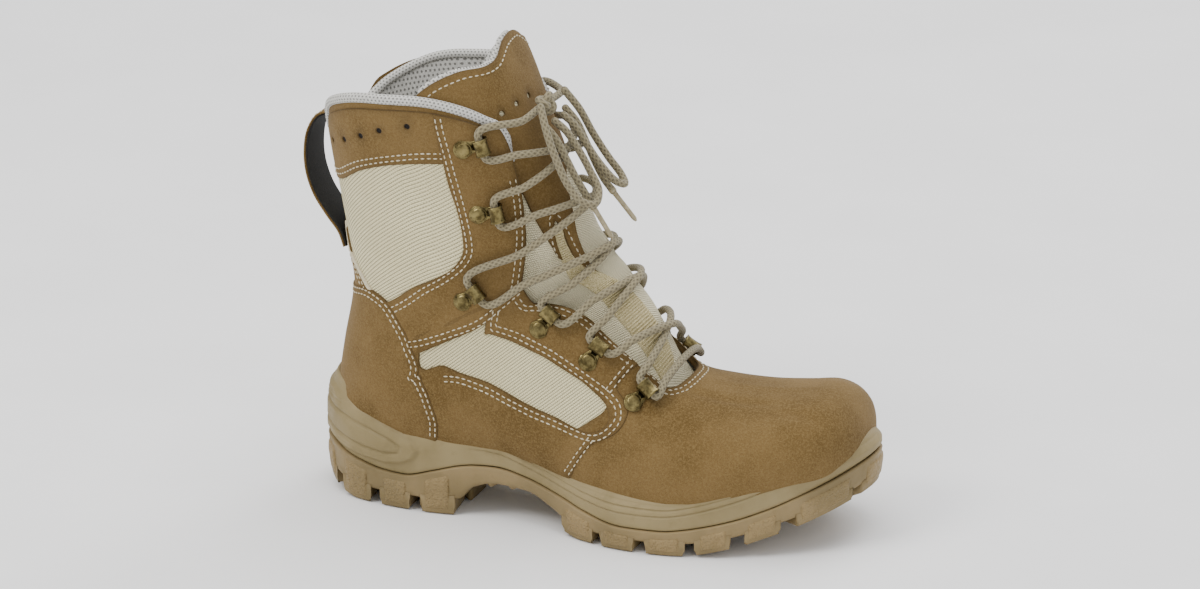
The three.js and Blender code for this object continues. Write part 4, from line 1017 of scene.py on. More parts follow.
# Upper: the inner shell, then textile, then leather over it. Outlines are row and around, a third value is a corner

layers = {"textile": (.02, .5), "under": (.05, 1.05), "over": (.1, 1.65), "top": (.15, 2.2)}


def collarRow(around, below=0):
    return float(along(collarTable, np.array(around % 1.0), True)[0]) - below


def collarEdge(first, last, below, count=14):
    return [(collarRow(a, below), a) for a in np.linspace(first, last, count)]


throatLeft = [(22.6, .388), (21.8, .385), (21.4, .381), (20.65, .376), (20.1, .369), (19.45, .362), (18.9, .356),
              (18, .348), (17.4, .343), (15.3, .357), (14.05, .362), (13.1, .363), (12.15, .358), (11.25, .357),
              (10.4, .364), (9.95, .372), (9.25, .391), (9.0, .42), (8.88, .455), (8.84, .5)]
throatAll = throatLeft + [(r, 1 - a) for r, a in throatLeft[-2::-1]]

shell = [(.0, 0, 1), (4, 0), (8, 0), (12, 0), (16, 0), (19, 0), (22.9, 0, 1), *collarEdge(.02, .375, .05, 18),
         *throatAll, *collarEdge(.625, .98, .05, 18), (22.9, 1, 1), (19, 1), (16, 1), (12, 1), (8, 1), (4, 1),
         (0, 1, 1), (0, .75), (0, .5), (0, .25)]
base = addPanel("upper_shell", [shell], -wall, 0, suede, "suede", edge=.25, spacing=3.2, under=liningMesh, step=2.2)
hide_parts("upper")
print("shell made")

shaftTextile = bothSides([(22.6, 0), (22.6, .1), (22.75, .2), (22.7, .30, 1), (20.5, .292), (19.2, .29), (18.6, .262),
                          (18.3, .2, 1), (18.3, .13), (19.2, .08), (20.0, .04), (20.2, 0)])
addPanel("shaft_textile", [shaftTextile], *layers["textile"], cordura, "textile", edge=.3, spacing=3,
         weave="round")

quarterWindow = [(17.4, .226, 1), (17.3, .262), (17.2, .30, 1), (16.3, .295), (14.6, .283), (12.55, .269), (11.3, .258),
                 (10.66, .246), (10.38, .224), (10.36, .2), (10.62, .176), (11.50, .179), (12.45, .189), (13.60, .206),
                 (14.40, .214), (15.90, .231), (16.25, .226)]
quarterTextile = [(17.8, .2), (17.1, .31), (14.5, .297), (12.3, .283), (10.6, .266), (10.0, .235), (10.1, .18),
                  (10.6, .16), (12.0, .168), (14.0, .195), (15.8, .21)]
vampThroat = [(r, 1 - a) for r, a in throatLeft[14:]] + [(r, a) for r, a in throatLeft[14:-1][::-1]]
vamp = [(.15, .02, 1), (.1, .2), (.1, .5), (.1, .8), (.15, .98, 1), (5, .98), (11.1, .98, 1), (11.0, .85), (10.75, .8),
        (10.6, .76), (10.8, .725), (11.05, .69), (11.05, .643, 1), *vampThroat, (11.05, .357, 1), (11.05, .31),
        (10.8, .275), (10.6, .24), (10.75, .2), (11.0, .15), (11.1, .02, 1), (5, .02)]
quarterFrame = [(13.4, .02, 1), (10.44, .02, 1), (10.45, .06), (10.38, .155), (9.98, .2), (9.92, .236), (10.0, .26),
                (10.24, .276), (10.62, .286), (10.62, .362, 1), (11.25, .358), (12.15, .359), (13.1, .364),
                (14.05, .363), (15.3, .358), (17.6, .342, 1), (17.5, .29), (17.55, .22, 1), (17.2, .197),
                (16.2, .2), (14.5, .13), (13.6, .07)]
ankleFacing = [(20.75, 0), (20.5, .035), (19.60, .088), (18.95, .124), (18.6, .146, 1), (18.65, .182), (18.8, .210),
               (18.85, .236), (19.0, .258), (19.35, .272), (19.9, .278), (20.6, .280), (21.3, .279), (22.15, .281),
               (23.0, .284), (collarRow(.288, .36), .288, 1), *collarEdge(.3, .362, .36, 6), (22.85, .381),
               (22.3, .387), (21.8, .385), (21.4, .381), (20.65, .376), (20.1, .369), (19.45, .362), (18.9, .356),
               (18, .348), (17.4, .343), (17.0, .345, 1), (16.82, .322), (16.6, .292), (16.78, .256), (17.0, .212),
               (17.4, .17), (18.0, .1), (18.2, .05), (18.3, 0)]
collarBand = bothSides([(21.6, 0), (21.62, .05), (21.68, .1), (22.05, .174), (22.15, .224), (22.1, .254),
                        (21.95, .298, 1), (collarRow(.298, .36), .298, 1), *collarEdge(.28, .02, .36, 14),
                        (22.59, 0)])
counterSeam = [(19.02, 0), (19.0, .03), (18.97, .06), (18.86, .13), (18.45, .172), (17.9, .195), (17.3, .2095),
               (16.5, .2185), (15.0, .1835), (14.1, .14), (13.45, .092), (13.2, .06)]
counterEdge = moved(pathThrough(counterSeam, 3), 2.9, skin, closed=False).tolist()
counterEdge[0][1] = 0
counter = bothSides(counterEdge + [(12.95, .03, 1), (14.8, .03), (15.8, .022), (16.3, .008), (16.35, 0)])


def hole(row, around, radius, count=12, surface=skin):
    turn = np.linspace(0, 2 * math.pi, count, endpoint=False)
    here, byRow = surface(row, around, 0.0), surface(row + .01, around, 0.0)
    byAround = surface(row, around + .001, 0.0)
    rowScale, aroundScale = np.linalg.norm(byRow - here) / .01, np.linalg.norm(byAround - here) / .001
    return np.column_stack([row + radius * np.sin(turn) / rowScale, around + radius * np.cos(turn) / aroundScale])


vents = [(22.78, .1), (22.90, .144), (23.05, .184), (23.20, .218), (23.28, .25)]
vents += [(r, -a) for r, a in vents]
bandPieces = [collarBand] + [hole(r, a, 1.45) for r, a in vents]
addPanel("collar_band", bandPieces, *layers["under"], suede, "suede")
addPanel("vamp", [vamp], *layers["under"], suede, "suede")
for label, turned in (("lateral", list), ("medial", mirrored)):
    addPanel(f"quarter_textile_{label}", [turned(quarterTextile)], *layers["textile"], cordura, "textile", edge=.3,
             spacing=3, weave="side")
    addPanel(f"quarter_{label}", [turned(quarterFrame), turned(quarterWindow)], *layers["over"], suede, "suede")
ankleWhole = bothSides(ankleFacing)
addPanel("ankle_facing", [ankleWhole], *layers["over"], suede, "suede")
addPanel("counter", [counter], *layers["top"], suede, "suede", edge=.8)
print("leather and textile laid")


# near-black discs under the vent holes: painted shade inside the holes
def ventShadeDiscs():
    parts = []
    for row, around in vents:
        at, axes = lastPoint(row, around), lastFrame(row, around)
        out = axes[0]
        side = axes[2] / np.linalg.norm(axes[2])
        up = np.cross(out, side)
        turn = np.linspace(0, 2 * math.pi, 16, endpoint=False)
        loop = np.column_stack([np.cos(turn), np.sin(turn)]) * 1.9
        points, faces = slab(loop, [(0, -.1), (0, .12), (.3, .16)])
        at = at + out * (creaseDepth(row, around) + .05)
        parts.append((at + points @ np.array([side, up, out]), faces))
    points, faces, flat = joined(parts)
    return addPiece("vent_painted_shade", points, faces, [ventShadeFinish])


ventShadeDiscs()

# the padded mesh roll along the collar and down the facing's front edge
roll = {"radius": 2.6, "out": -1.1, "below": .06}
rollLeft = [(21.7, .3855), (22.1, .3885), (22.5, .389), (22.85, .383)] + collarEdge(.365, .02, roll["below"], 16)
rollRight = collarEdge(-.0, -.362, roll["below"], 17) + [(22.95, -.379), (22.6, -.388), (22.2, -.389), (21.75, -.386)]
rollPath = np.array(rollLeft + rollRight)
rollCentre = curveThrough(lastOffset(rollPath[:, 0], rollPath[:, 1], np.full(len(rollPath), roll["out"])), 2.0)
fromStart = np.arange(len(rollCentre))
rollWidth = roll["radius"] * np.clip(np.minimum(fromStart, fromStart[::-1]) / 6, .35, 1)
points, faces, flat = sweep(rollCentre, rollWidth, 16)
rollPiece = addPiece("collar_roll", points, faces, [liningMesh],
                     cornerFlat=[(u, v * .0163) for u, v in flat])
print("collar made")


# Tongue: a padded sheet, its leather flap and straps, and ribbed tape down the middle

def tongueSolid(rows=96, columns=44):
    i, j = np.meshgrid(np.arange(rows), np.arange(columns), indexing="ij")
    across = 2 * j / (columns - 1) - 1
    shape = tongueShape
    top = along(tongueTopTable, .5 + .238 * across)[..., 0]
    row = 7.8 + (top - 7.8) * i / (rows - 1)
    half = along(tongueTable, row)[..., 0] + .03 * fadeStep(row, 21.5, 23.5)
    around = .5 + half * across
    thick = shape["thickness"] * along(tongueTable, row)[..., 2] * (1 - .55 * across ** 4)
    quilt = shape["pillow"] * (np.cos((row - 9.5) * 2.6) - 1) * (1 - across ** 2) * (row < 20)
    slope = np.minimum(1, (1 - np.abs(across)) * 9) * np.minimum(1, (rows - 1 - i) / 3)
    pinch = thick * .5 * (1 - slope) ** 2
    outer = tongueRise(row, around) - pinch + quilt * .5
    inner = tongueRise(row, around) - thick + pinch
    outer, inner = lastOffset(row, around, outer), lastOffset(row, around, inner)
    points = np.vstack([outer.reshape(-1, 3), inner.reshape(-1, 3)])
    front, edge, back = doubleSheet(rows, columns)
    flat = np.stack([around * .292, row * .0128], -1).reshape(-1, 2)
    # the lining begins a little below the tongue's edge
    start = (rows - 8) * columns
    woven = [face for face in front + edge if min(face) < start]
    lined = [face for face in front + edge if min(face) >= start]
    return points, woven + lined + back, np.vstack([flat, flat]), len(woven)


points, faces, flat, tops = tongueSolid()
tonguePad = addPiece("tongue_pad", points, faces, [gussetWeave, liningMesh], flat=flat, under=tops)
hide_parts("tongue")


def tongueEdge(first, last, below, count):
    around = np.linspace(first, last, count)
    return [(float(row) - below, a) for row, a in zip(along(tongueTopTable, around)[:, 0], around.tolist())]


flapTop = tongueEdge(.268, .728, .1, 28)
tongueFlap = flapTop + [(23.0, .72), (22.2, .66), (21.6, .58), (21.0, .51), (20.2, .474), (19.35, .457), (18.65, .447),
                        (17.75, .443), (16.95, .4425), (15.6, .441), (14.6, .4425), (13.5, .4465, 1), (14.6, .437),
                        (15.6, .4305), (16.65, .426), (17.6, .4215), (18.4, .4205), (19.1, .4205), (19.42, .4155),
                        (19.1, .4085), (18.4, .4045), (17.5, .407, 1), (17.6, .4035), (18.4, .395), (19.3, .3855),
                        (19.95, .381), (20.75, .376), (21.4, .358), (22.2, .325), (23.2, .28)]
tongueHoles = [hole(r, a, 1.4, surface=tongueSkin) for r, a in ((23.2, .405), (23.35, .448), (23.4, .488), (23.3, .6))]
tongueLayers = (-.2, 1.05)
addPanel("tongue_flap", [tongueFlap, *tongueHoles], *tongueLayers, suede, "suede", tongueSkin)
tape = [(19.25, .4095), (18.15, .403), (17.65, .4035), (16, .405), (13.7, .407), (12.3, .401), (10.35, .402),
        (9.5, .405, 1), (9.5, .495, 1), (9.9, .494), (11.1, .484), (12, .476), (13.1, .467), (14.3, .452), (15.6, .439),
        (17.6, .4225), (18.4, .4195), (19.25, .4185)]
addPanel("tongue_tape", [tape], -.2, .55, webbing, "textile", tongueSkin, edge=.3, spacing=2.2)
print("tongue made")


# Pull loop: leather outside, tape inside

loopPath = [(11.9, 131), (9.2, 138.5), (2.4, 147.5), (-4.6, 158), (-8.8, 170), (-9.6, 182), (-7.4, 193.5), (-2, 201.4),
            (4, 203.4), (9.2, 201.2), (11, 194)]
loopSize = {"wide": 24, "inset": 0.6}
loopLine = curveThrough([(x, 0, z) for x, z in loopPath], 1.8)


def outOf(line):
    # unit vectors to the outer side of a line in the boot's middle plane
    way = unit(np.gradient(line, axis=0))
    return np.column_stack([-way[:, 2], np.zeros(len(way)), way[:, 0]])


def strapAlong(line, wide, near, far):
    # a strap with rounded edges along a line in the boot's middle plane, between two distances to its outer side
    out = outOf(line)
    half, thick = wide / 2, far - near
    section = [(-1, .5), (-.97, .88), (-.9, 1), (-.5, 1), (0, 1), (.5, 1), (.9, 1), (.97, .88), (1, .5), (.97, .1),
               (.9, 0), (0, 0), (-.9, 0), (-.97, .1)]
    m, n = len(section), len(line)
    rings = np.stack([line + out * (near + thick * t) + np.array([0, half * s, 0]) for s, t in section], 1)
    points, faces = rings.reshape(-1, 3), ringFaces(n, m) + endCaps(n, m)
    probe = np.cross(rings[3, 3] - rings[3, 4], rings[4, 3] - rings[3, 3]) @ out[3]
    return points, faces if probe < 0 else [f[::-1] for f in faces]


points, faces = strapAlong(loopLine, loopSize["wide"], -.1, 1.15)
loopPiece = addPiece("pull_loop_leather", points, faces, [suede])
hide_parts("pull_loop")
points, faces = strapAlong(loopLine, loopSize["wide"] - 2 * loopSize["inset"], -1.1, -.15)
addPiece("pull_loop_tape", points, faces, [blackTape])
print("pull loop made")


# Sole

def soleRing(count, inset, z):
    loop = outline(count, inset)
    return np.column_stack([loop, z if np.ndim(z) else np.full(count, z)])


def shellFrom(rings, closed=False):
    # a solid through rings of equally many points from below upwards; closed joins the last ring to the first
    n, count = len(rings), len(rings[0])
    points, faces = np.vstack(rings), ringFaces(n, count, closed)
    if not closed:
        for start, flip in ((0, True), ((n - 1) * count, False)):
            for j in range(count // 2):
                a, b, c, d = start + j, start + j + 1, start + (count - j - 1) % count, start + (count - j) % count
                face = [a, b, c, d]
                if b == c:
                    face = [a, b, d]
                if a == d:
                    face = [a, b, c]
                faces.append(tuple(face[::-1] if flip else face))
    return points, faces


midsoleShape = {"count": 520, "levels": 44, "grooves": ((5.4, .9), (9.6, .9)), "shield": 1.8}
shieldEdge = np.array([(-6, 58.5), (0, 58.5), (22, 57.2), (44, 53.2), (60, 47.6), (74, 42.5), (82, 38.2),
                       (85.5, 33.6), (83, 28.8), (76, 25.6), (66, 24.2), (52, 25.4), (38, 28), (22, 31.4), (8, 33.4),
                       (0, 33.8), (-6, 33.8)], float)
shieldGroove = np.array([(-6, 50), (0, 50), (20, 48.6), (40, 45.6), (56, 41.6), (68, 38), (75, 34.6), (74, 31.2),
                         (66, 29.8), (54, 31), (38, 34.2), (20, 37.6), (0, 39.4), (-6, 39.4)], float)


def distanceTo(loop, x, y):
    best = np.full(x.shape, 1e9)
    for a, b in zip(loop, np.roll(loop, -1, 0)):
        d = b - a
        t = np.clip(((x - a[0]) * d[0] + (y - a[1]) * d[1]) / (d @ d), 0, 1)
        best = np.minimum(best, np.hypot(x - a[0] - t * d[0], y - a[1] - t * d[1]))
    inside = insideOf([loop[:, ::-1]], np.column_stack([y.ravel(), x.ravel()])).reshape(x.shape)
    return np.where(inside, best, -best)


def midsoleSolid():
    count, levels = midsoleShape["count"], midsoleShape["levels"]
    base = outline(count, 0)
    x = np.clip(base[:, 0], 0, soleLength)
    level = heights(x)
    low, high = level[:, partingLevel] + .7, level[:, rimLevel]
    step = np.linalg.norm(np.roll(base, -1, 0) - base, axis=1)
    far = np.concatenate([[0], np.cumsum(step)[:-1]])
    far = np.minimum(far, step.sum() - far)  # how far round from the middle of the heel
    shares = np.linspace(0, 1, levels)
    knownShares = [0, .06, .22, .5, .76, .94, 1]
    insets = np.interp(shares, knownShares, [1.3, 1.05, 1.0, 1.1, 2.2, 3.9, 5.0])
    rings = []
    for share, inset in zip(shares, insets):
        z = low + (high - low) * share
        out = np.zeros(count)
        below = high - z
        side = fadeStep(x, 84, 104) * (1 - fadeStep(x, 284, 294))
        for drop, depth in midsoleShape["grooves"]:
            drop = drop * (1 - .38 * fadeStep(x, 150, 290)) * np.clip((high - low) / 17, .6, 1.2)
            out -= depth * side * np.exp(-((below - drop) / .5) ** 2)
        out += .45 * side * fadeStep(below, 1.5, 4) * (1 - fadeStep(below, 5, 12))
        out -= .4 * np.exp(-((below - 2.1) / .45) ** 2)
        within = distanceTo(shieldEdge, far, z)
        out += midsoleShape["shield"] * fadeStep(within, -.4, 1.3)
        groove = distanceTo(shieldGroove, far, z)
        out -= 1.3 * np.exp(-(groove / .75) ** 2) * (far < 78)
        for line in (55.2, 52.8):
            out -= .55 * np.exp(-((z - line + far * .035) / .38) ** 2) * (1 - fadeStep(far, 34, 52)) * (within > 1)
        out += 1.0 * fadeStep(x, 262, 284) * fadeStep(share, .02, .2) * (1 - fadeStep(share, .45, .8))
        rings.append(soleRing(count, inset - out, z))
    for inset, drop in ((5.5, -.25), (6.1, -.1), (6.9, .6), (7.5, 2.2)):
        rings.append(soleRing(count, inset, high - drop))
    bottom = np.minimum(level[:, partingLevel], level[:, footbedLevel] - 5) + .35
    for inset, z in ((8.4, high * .6 + bottom * .4), (8.8, level[:, footbedLevel]), (8.4, bottom + .6), (6.4, bottom)):
        rings.append(soleRing(count, inset, z))
    return shellFrom(rings, closed=True)


points, faces = midsoleSolid()
midsolePiece = addPiece("midsole_cup", points, faces, [midsoleRubber])
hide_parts("midsole")


def insoleSolid():
    count = 220
    x = np.clip(outline(count, 9)[:, 0], 0, soleLength)
    bed = heights(x)[:, footbedLevel]
    rings = [soleRing(count, inset, bed + up) for inset, up in ((9.6, .9), (9.2, 1.4), (9.2, 3.4), (9.7, 3.9),
                                                              (11, 4.1), (14, 3.6), (20, 3.2))]
    return shellFrom(rings)


points, faces = insoleSolid()
insolePiece = addPiece("insole_sock", points, faces, [liningMesh], flat=points[:, :2] * .001)
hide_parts("insole")
print("midsole and insole made")

# Lugs: centre, length along the axis, width at its start and end, and the axis's turn in degrees
lugs = [
    (280, 15, 42, 11, 40, 12), (264, 42.3, 50, 3, 62, 73), (273, -15, 34, 13, 36, -33),
    (250.9, 6, 18, 12.5, 12.5, -48), (233.8, 6.5, 21, 7, 10, -70), (246.4, -24, 37, 9.4, 18, -64),
    (226.3, -37.4, 32, 16.5, 17.5, -74), (203.6, -45.2, 28, 14, 21, -81), (179.5, -42, 34, 16.3, 17.8, -94),
    (156.2, -41.6, 28, 14.5, 20, -103), (228.2, 47.8, 36, 15, 20.5, 99), (227, 25.5, 14, 15, 8, -120),
    (202.5, 46.8, 34, 15, 21, 107), (178.4, 44.7, 30, 17, 17, 118), (157.2, 34, 28, 16, 17, 121),
    (222.5, -6.8, 23, 9, 14, -97), (206.5, 8, 30, 12, 9.5, -100), (200.5, -20, 17, 7, 11, -62),
    (188.5, 19, 16, 10.5, 8.5, -95), (182, -8, 27, 12, 13, -100), (165.5, 9.5, 25, 11, 8, -155),
    (160.6, -15.5, 20, 6, 12, -95), (76, 28, 32, 12, 13.5, 89), (79, -7, 11, 3, 23, 0), (75, -31, 30, 10, 18.5, -92),
    (63.7, -3, 24, 8, 8, -127), (57.5, 33, 26, 14, 16, 92), (53.8, 11.5, 19, 8, 9.5, -113),
    (44.5, -8.3, 9, 11, 5, 180), (49.5, -31, 27, 16.5, 16, -88), (26.5, -27, 31, 9, 20, -98),
    (26.5, 27, 31, 9, 20, 98), (9.6, -18, 24, 9, 17, -139), (9.6, 18, 24, 9, 17, 139), (5, 0, 15, 11, 17, 180)]
archRibs = {"count": 4, "first": 104, "pitch": 11.6, "middle": 28, "long": 14, "wide": 3.3, "lean": 18}
edgeCount = 720
edgeLoops = {inset: outline(edgeCount, inset) for inset in (.5, .7, 1.3, 2.4)}


def clipped(loop, inset):
    # points beyond the sole's edge are brought back to it
    edge = edgeLoops[inset]
    out = ~insideOf([edge[:, ::-1]], loop[:, ::-1])
    result = loop.copy()
    for i in np.nonzero(out)[0]:
        result[i] = edge[np.argmin(((edge - loop[i]) ** 2).sum(1))]
    return result, out


def lugOutline(x, y, long, wide, end, turn):
    corners = np.array([(-long / 2, -wide / 2), (long / 2, -end / 2), (long / 2, end / 2), (-long / 2, wide / 2)])
    turn = math.radians(turn)
    rotation = np.array([(math.cos(turn), math.sin(turn)), (-math.sin(turn), math.cos(turn))])
    corners = corners @ rotation + (x, y)
    rounded = []
    for i, corner in enumerate(corners):
        before, after = corners[i - 1], corners[(i + 1) % 4]
        for other in (before, after):
            reach = min(1.3, np.linalg.norm(other - corner) * .3)
            rounded.append(corner + (other - corner) / np.linalg.norm(other - corner) * reach)
    rounded.append(rounded[0])
    return resampled(np.array(rounded), 1.5)[:-1]


def lugSolid(lug):
    loop = lugOutline(*lug)
    inward, rings = leftOf(loop), []
    for grow, inset, share, lift in ((-.9, .5, 1, 2.5), (-.55, .7, .55, 0), (-.1, 1.3, 0, 1.1), (.25, 1.3, 0, .35),
                                     (.9, 2.4, 0, 0)):
        ring = clipped(loop + inward * grow, inset)[0]
        level = heights(np.clip(ring[:, 0], 0, soleLength))
        z = level[:, treadLevel] + (level[:, plateLevel] - level[:, treadLevel]) * share + lift
        rings.append(np.column_stack([ring, z]))
    points, faces = fannedRings(np.vstack(rings), len(rings), len(loop), rings[0].mean(0), rings[-1].mean(0))
    return points, [face[::-1] for face in faces]


def plateSolid():
    count = 520
    x = np.clip(outline(count)[:, 0], 0, soleLength)
    level = heights(x)
    plate, parting = level[:, plateLevel], level[:, partingLevel]
    seat = np.minimum(parting, level[:, footbedLevel] - 5)
    rings = [soleRing(count, 9, plate - .25), soleRing(count, 3.6, plate), soleRing(count, 1.7, plate + .5),
             soleRing(count, .8, plate + 1.6)]
    for share in (.25, .5, .75):
        rings.append(soleRing(count, .8 - .8 * share, plate + 1.6 + (parting - 4.6 - plate) * share))
    rings += [soleRing(count, 0, parting - 3), soleRing(count, 0, parting - 1.6), soleRing(count, -.25, parting - .7),
              soleRing(count, .1, parting - .1), soleRing(count, 1.2, parting + .1), soleRing(count, 6.2, seat - .35)]
    return shellFrom(rings)


padShape = {"gap": 1.8, "least": 6, "spacing": 1.4, "rows": 12, "over tip": 2.0, "under parting": 3.4,
            "swell": .95, "inside": 2.6}


def sidePads(shape):
    # raised pebbled panels on the outer faces of the edge lugs
    edge, base = edgeLoops[.7], outline(edgeCount, 0)
    step = np.linalg.norm(np.roll(edge, -1, 0) - edge, axis=1)
    far = np.concatenate([[0], np.cumsum(step)[:-1]])
    total = step.sum()
    outward = -leftOf(base)
    parts = []
    for lug in lugs:
        ring, out = clipped(lugOutline(*lug), .7)
        if out.sum() < 4:
            continue
        at = far[[np.argmin(((edge - p) ** 2).sum(1)) for p in ring[out]]]
        centre = at[len(at) // 2]
        at = (at - centre + total / 2) % total - total / 2
        first, last = at.min() + shape["gap"], at.max() - shape["gap"]
        if last - first < shape["least"]:
            continue
        columns, rows = max(14, int((last - first) / shape["spacing"])), shape["rows"]
        s, t = np.meshgrid(np.linspace(-1, 1, columns), np.linspace(-1, 1, rows))
        place = (centre + first + (s + 1) / 2 * (last - first)) % total
        x, y, nx, ny = (np.interp(place, far, column) for column in np.column_stack([base, outward]).T)
        level = heights(np.clip(x, 0, soleLength))
        low, high = level[..., treadLevel] + shape["over tip"], level[..., partingLevel] - shape["under parting"]
        z = low + (high - low) * (t + 1) / 2
        swell = np.clip(1 - np.abs(s) ** 7 - np.abs(t) ** 5, 0, 1) ** .35
        under = np.interp(z - level[..., plateLevel], [-8, -3, 1.6, 6], [1.5, 1.2, .75, .2])
        rise = swell * shape["swell"] - under
        front = np.stack([x + nx * rise, y + ny * rise, z], -1)
        back = np.stack([x - nx * shape["inside"], y - ny * shape["inside"], z], -1)
        parts.append((np.vstack([front.reshape(-1, 3), back.reshape(-1, 3)]), sum(doubleSheet(rows, columns), [])))
    return joined(parts)


ribs = [(archRibs["first"] + i * archRibs["pitch"], side * archRibs["middle"], archRibs["long"], archRibs["wide"],
         archRibs["wide"], side * (90 + archRibs["lean"])) for i in range(archRibs["count"]) for side in (-1, 1)]
emblemShape = {"middle": 127.5, "long": 15, "wide": 17.5}


def emblemRing():
    # a plain raised oval under the arch
    turn, rings = np.linspace(0, 2 * math.pi, 64, endpoint=False), []
    oval = np.column_stack([emblemShape["long"] * np.cos(turn), emblemShape["wide"] * np.sin(turn)])
    for grow, lift in ((1, .6), (1, -.5), (.985, -.8), (.93, -.8), (.915, -.5), (.915, .6)):
        loop = oval * grow + (emblemShape["middle"], 0)
        rings.append(np.column_stack([loop, heights(loop[:, 0])[:, plateLevel] + lift]))
    points, faces = shellFrom(rings, closed=True)
    return points, [f[::-1] for f in faces]


points, faces, flat = joined([plateSolid()] + [lugSolid(l) for l in lugs + ribs] + [emblemRing()])
outsolePiece = addPiece("outsole_rubber", points, faces, [outsoleRubber])
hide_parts("outsole")
points, faces, flat = sidePads(padShape)
addPiece("lug_panels", points, faces, [pebbledRubber])
print("outsole made")


# Seams: rows of stitches and the tape's ribs are repeated along paths by node trees

def newTree(name, inputs):
    tree = bpy.data.node_groups.new(name, "GeometryNodeTree")
    tree.interface.new_socket("Geometry", in_out="INPUT", socket_type="NodeSocketGeometry")
    for label, kind, value in inputs:
        socket = tree.interface.new_socket(label, in_out="INPUT", socket_type=kind)
        if value is not None:
            socket.default_value = value
    tree.interface.new_socket("Geometry", in_out="OUTPUT", socket_type="NodeSocketGeometry")
    start = tree.nodes.new("NodeGroupInput")
    return tree, lambda label: Wire(tree, start.outputs[label])


def endTree(tree, shape, finish):
    painted = addNode(tree, "GeometryNodeSetMaterial", {}, {"Geometry": shape, "Material": finish})
    smooth = addNode(tree, "GeometryNodeSetShadeSmooth", {}, {"Geometry": painted})
    end = tree.nodes.new("NodeGroupOutput")
    tree.links.new(smooth.socket, end.inputs["Geometry"])
    return tree


def stitchTree():
    tree, given = newTree("stitches", [("Pitch", "NodeSocketFloat", .0036), ("Length", "NodeSocketFloat", .0029),
                                       ("Width", "NodeSocketFloat", .0009), ("Height", "NodeSocketFloat", .0008),
                                       ("Seed", "NodeSocketInt", 3), ("Thread", "NodeSocketMaterial", None)])
    row = addNode(tree, "GeometryNodeMeshToCurve", {}, {"Mesh": given("Geometry")})
    row = addNode(tree, "GeometryNodeResampleCurve", {"mode": "LENGTH"}, {"Curve": row, "Length": given("Pitch")})
    out = addNode(tree, "GeometryNodeInputNamedAttribute", {"data_type": "FLOAT_VECTOR"}, {"Name": "out"})
    way = addNode(tree, "GeometryNodeInputTangent")
    turn = addNode(tree, "FunctionNodeAxesToRotation", {"primary_axis": "X", "secondary_axis": "Z"}, {0: way, 1: out})
    shape = addNode(tree, "GeometryNodeMeshUVSphere", {}, {"Segments": 8, "Rings": 6, "Radius": .5})
    size = addNode(tree, "ShaderNodeCombineXYZ", {}, {0: given("Length"), 1: given("Width"), 2: given("Height")})
    vary = addNode(tree, "FunctionNodeRandomValue", {"data_type": "FLOAT"}, {2: .9, 3: 1.08, "Seed": given("Seed")}, 1)
    scaled = addNode(tree, "ShaderNodeVectorMath", {"operation": "SCALE"}, {0: size, "Scale": vary})
    placed = addNode(tree, "GeometryNodeInstanceOnPoints", {},
                     {"Points": row, "Instance": shape, "Rotation": turn, "Scale": scaled})
    return endTree(tree, addNode(tree, "GeometryNodeRealizeInstances", {}, {"Geometry": placed}), given("Thread"))


def ribTree():
    tree, given = newTree("ribs", [("Radius", "NodeSocketFloat", .0006), ("Sides", "NodeSocketInt", 6),
                                   ("Fabric", "NodeSocketMaterial", None)])
    row = addNode(tree, "GeometryNodeMeshToCurve", {}, {"Mesh": given("Geometry")})
    shape = addNode(tree, "GeometryNodeCurvePrimitiveCircle", {}, {"Resolution": given("Sides"),
                                                                 "Radius": given("Radius")})
    tube = addNode(tree, "GeometryNodeCurveToMesh", {}, {"Curve": row, "Profile Curve": shape, "Fill Caps": True})
    return endTree(tree, addNode(tree, "GeometryNodeRealizeInstances", {}, {"Geometry": tube}), given("Fabric"))


def repeatAlong(name, tree, paths, settings):
    # paths are (points, normals) in metres of the frame; the tree's result becomes one plain mesh
    mesh = bpy.data.meshes.new(name + " paths")
    points, edges, start = [], [], 0
    for path, _ in paths:
        points.append(path)
        edges += [(start + i, start + i + 1) for i in range(len(path) - 1)]
        start += len(path)
    mesh.from_pydata(np.vstack(points).tolist(), edges, [])
    normals = mesh.attributes.new("out", "FLOAT_VECTOR", "POINT")
    normals.data.foreach_set("vector", np.vstack([n for _, n in paths]).ravel())
    guide = bpy.data.objects.new(name + " guide", mesh)
    scene.collection.objects.link(guide)
    modifier = guide.modifiers.new("repeat", "NODES")
    modifier.node_group = tree
    for item in tree.interface.items_tree:
        if item.name in settings:
            modifier[item.identifier] = settings[item.name]
    shown = guide.evaluated_get(bpy.context.evaluated_depsgraph_get())
    made = bpy.data.meshes.new_from_object(shown)
    made.name = name
    guide.modifiers.remove(modifier)
    bpy.data.objects.remove(guide)
    piece = bpy.data.objects.new(name, made)
    scene.collection.objects.link(piece)
    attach(piece, "root")
    return piece


def pathOn(surface, path, out):
    row, around = path[:, 0], path[:, 1]
    here = surface(row, around, out)
    return toFrame(here), unit(here - surface(row, around, out - 1.0))


seamPaths = []
rowGap = 1.4  # from a double seam's middle to each row


def seam(points, layer, double=True, sides=(0, 1), surface=skin):
    path = pathThrough(points)
    for side in sides:
        turned = np.column_stack([path[:, 0], 1 - path[:, 1]]) if side else path
        for offset in ((-rowGap, rowGap) if double else (0,)):
            row = moved(turned, offset, surface, closed=False) if offset else turned
            seamPaths.append(pathOn(surface, row, layer + .12))


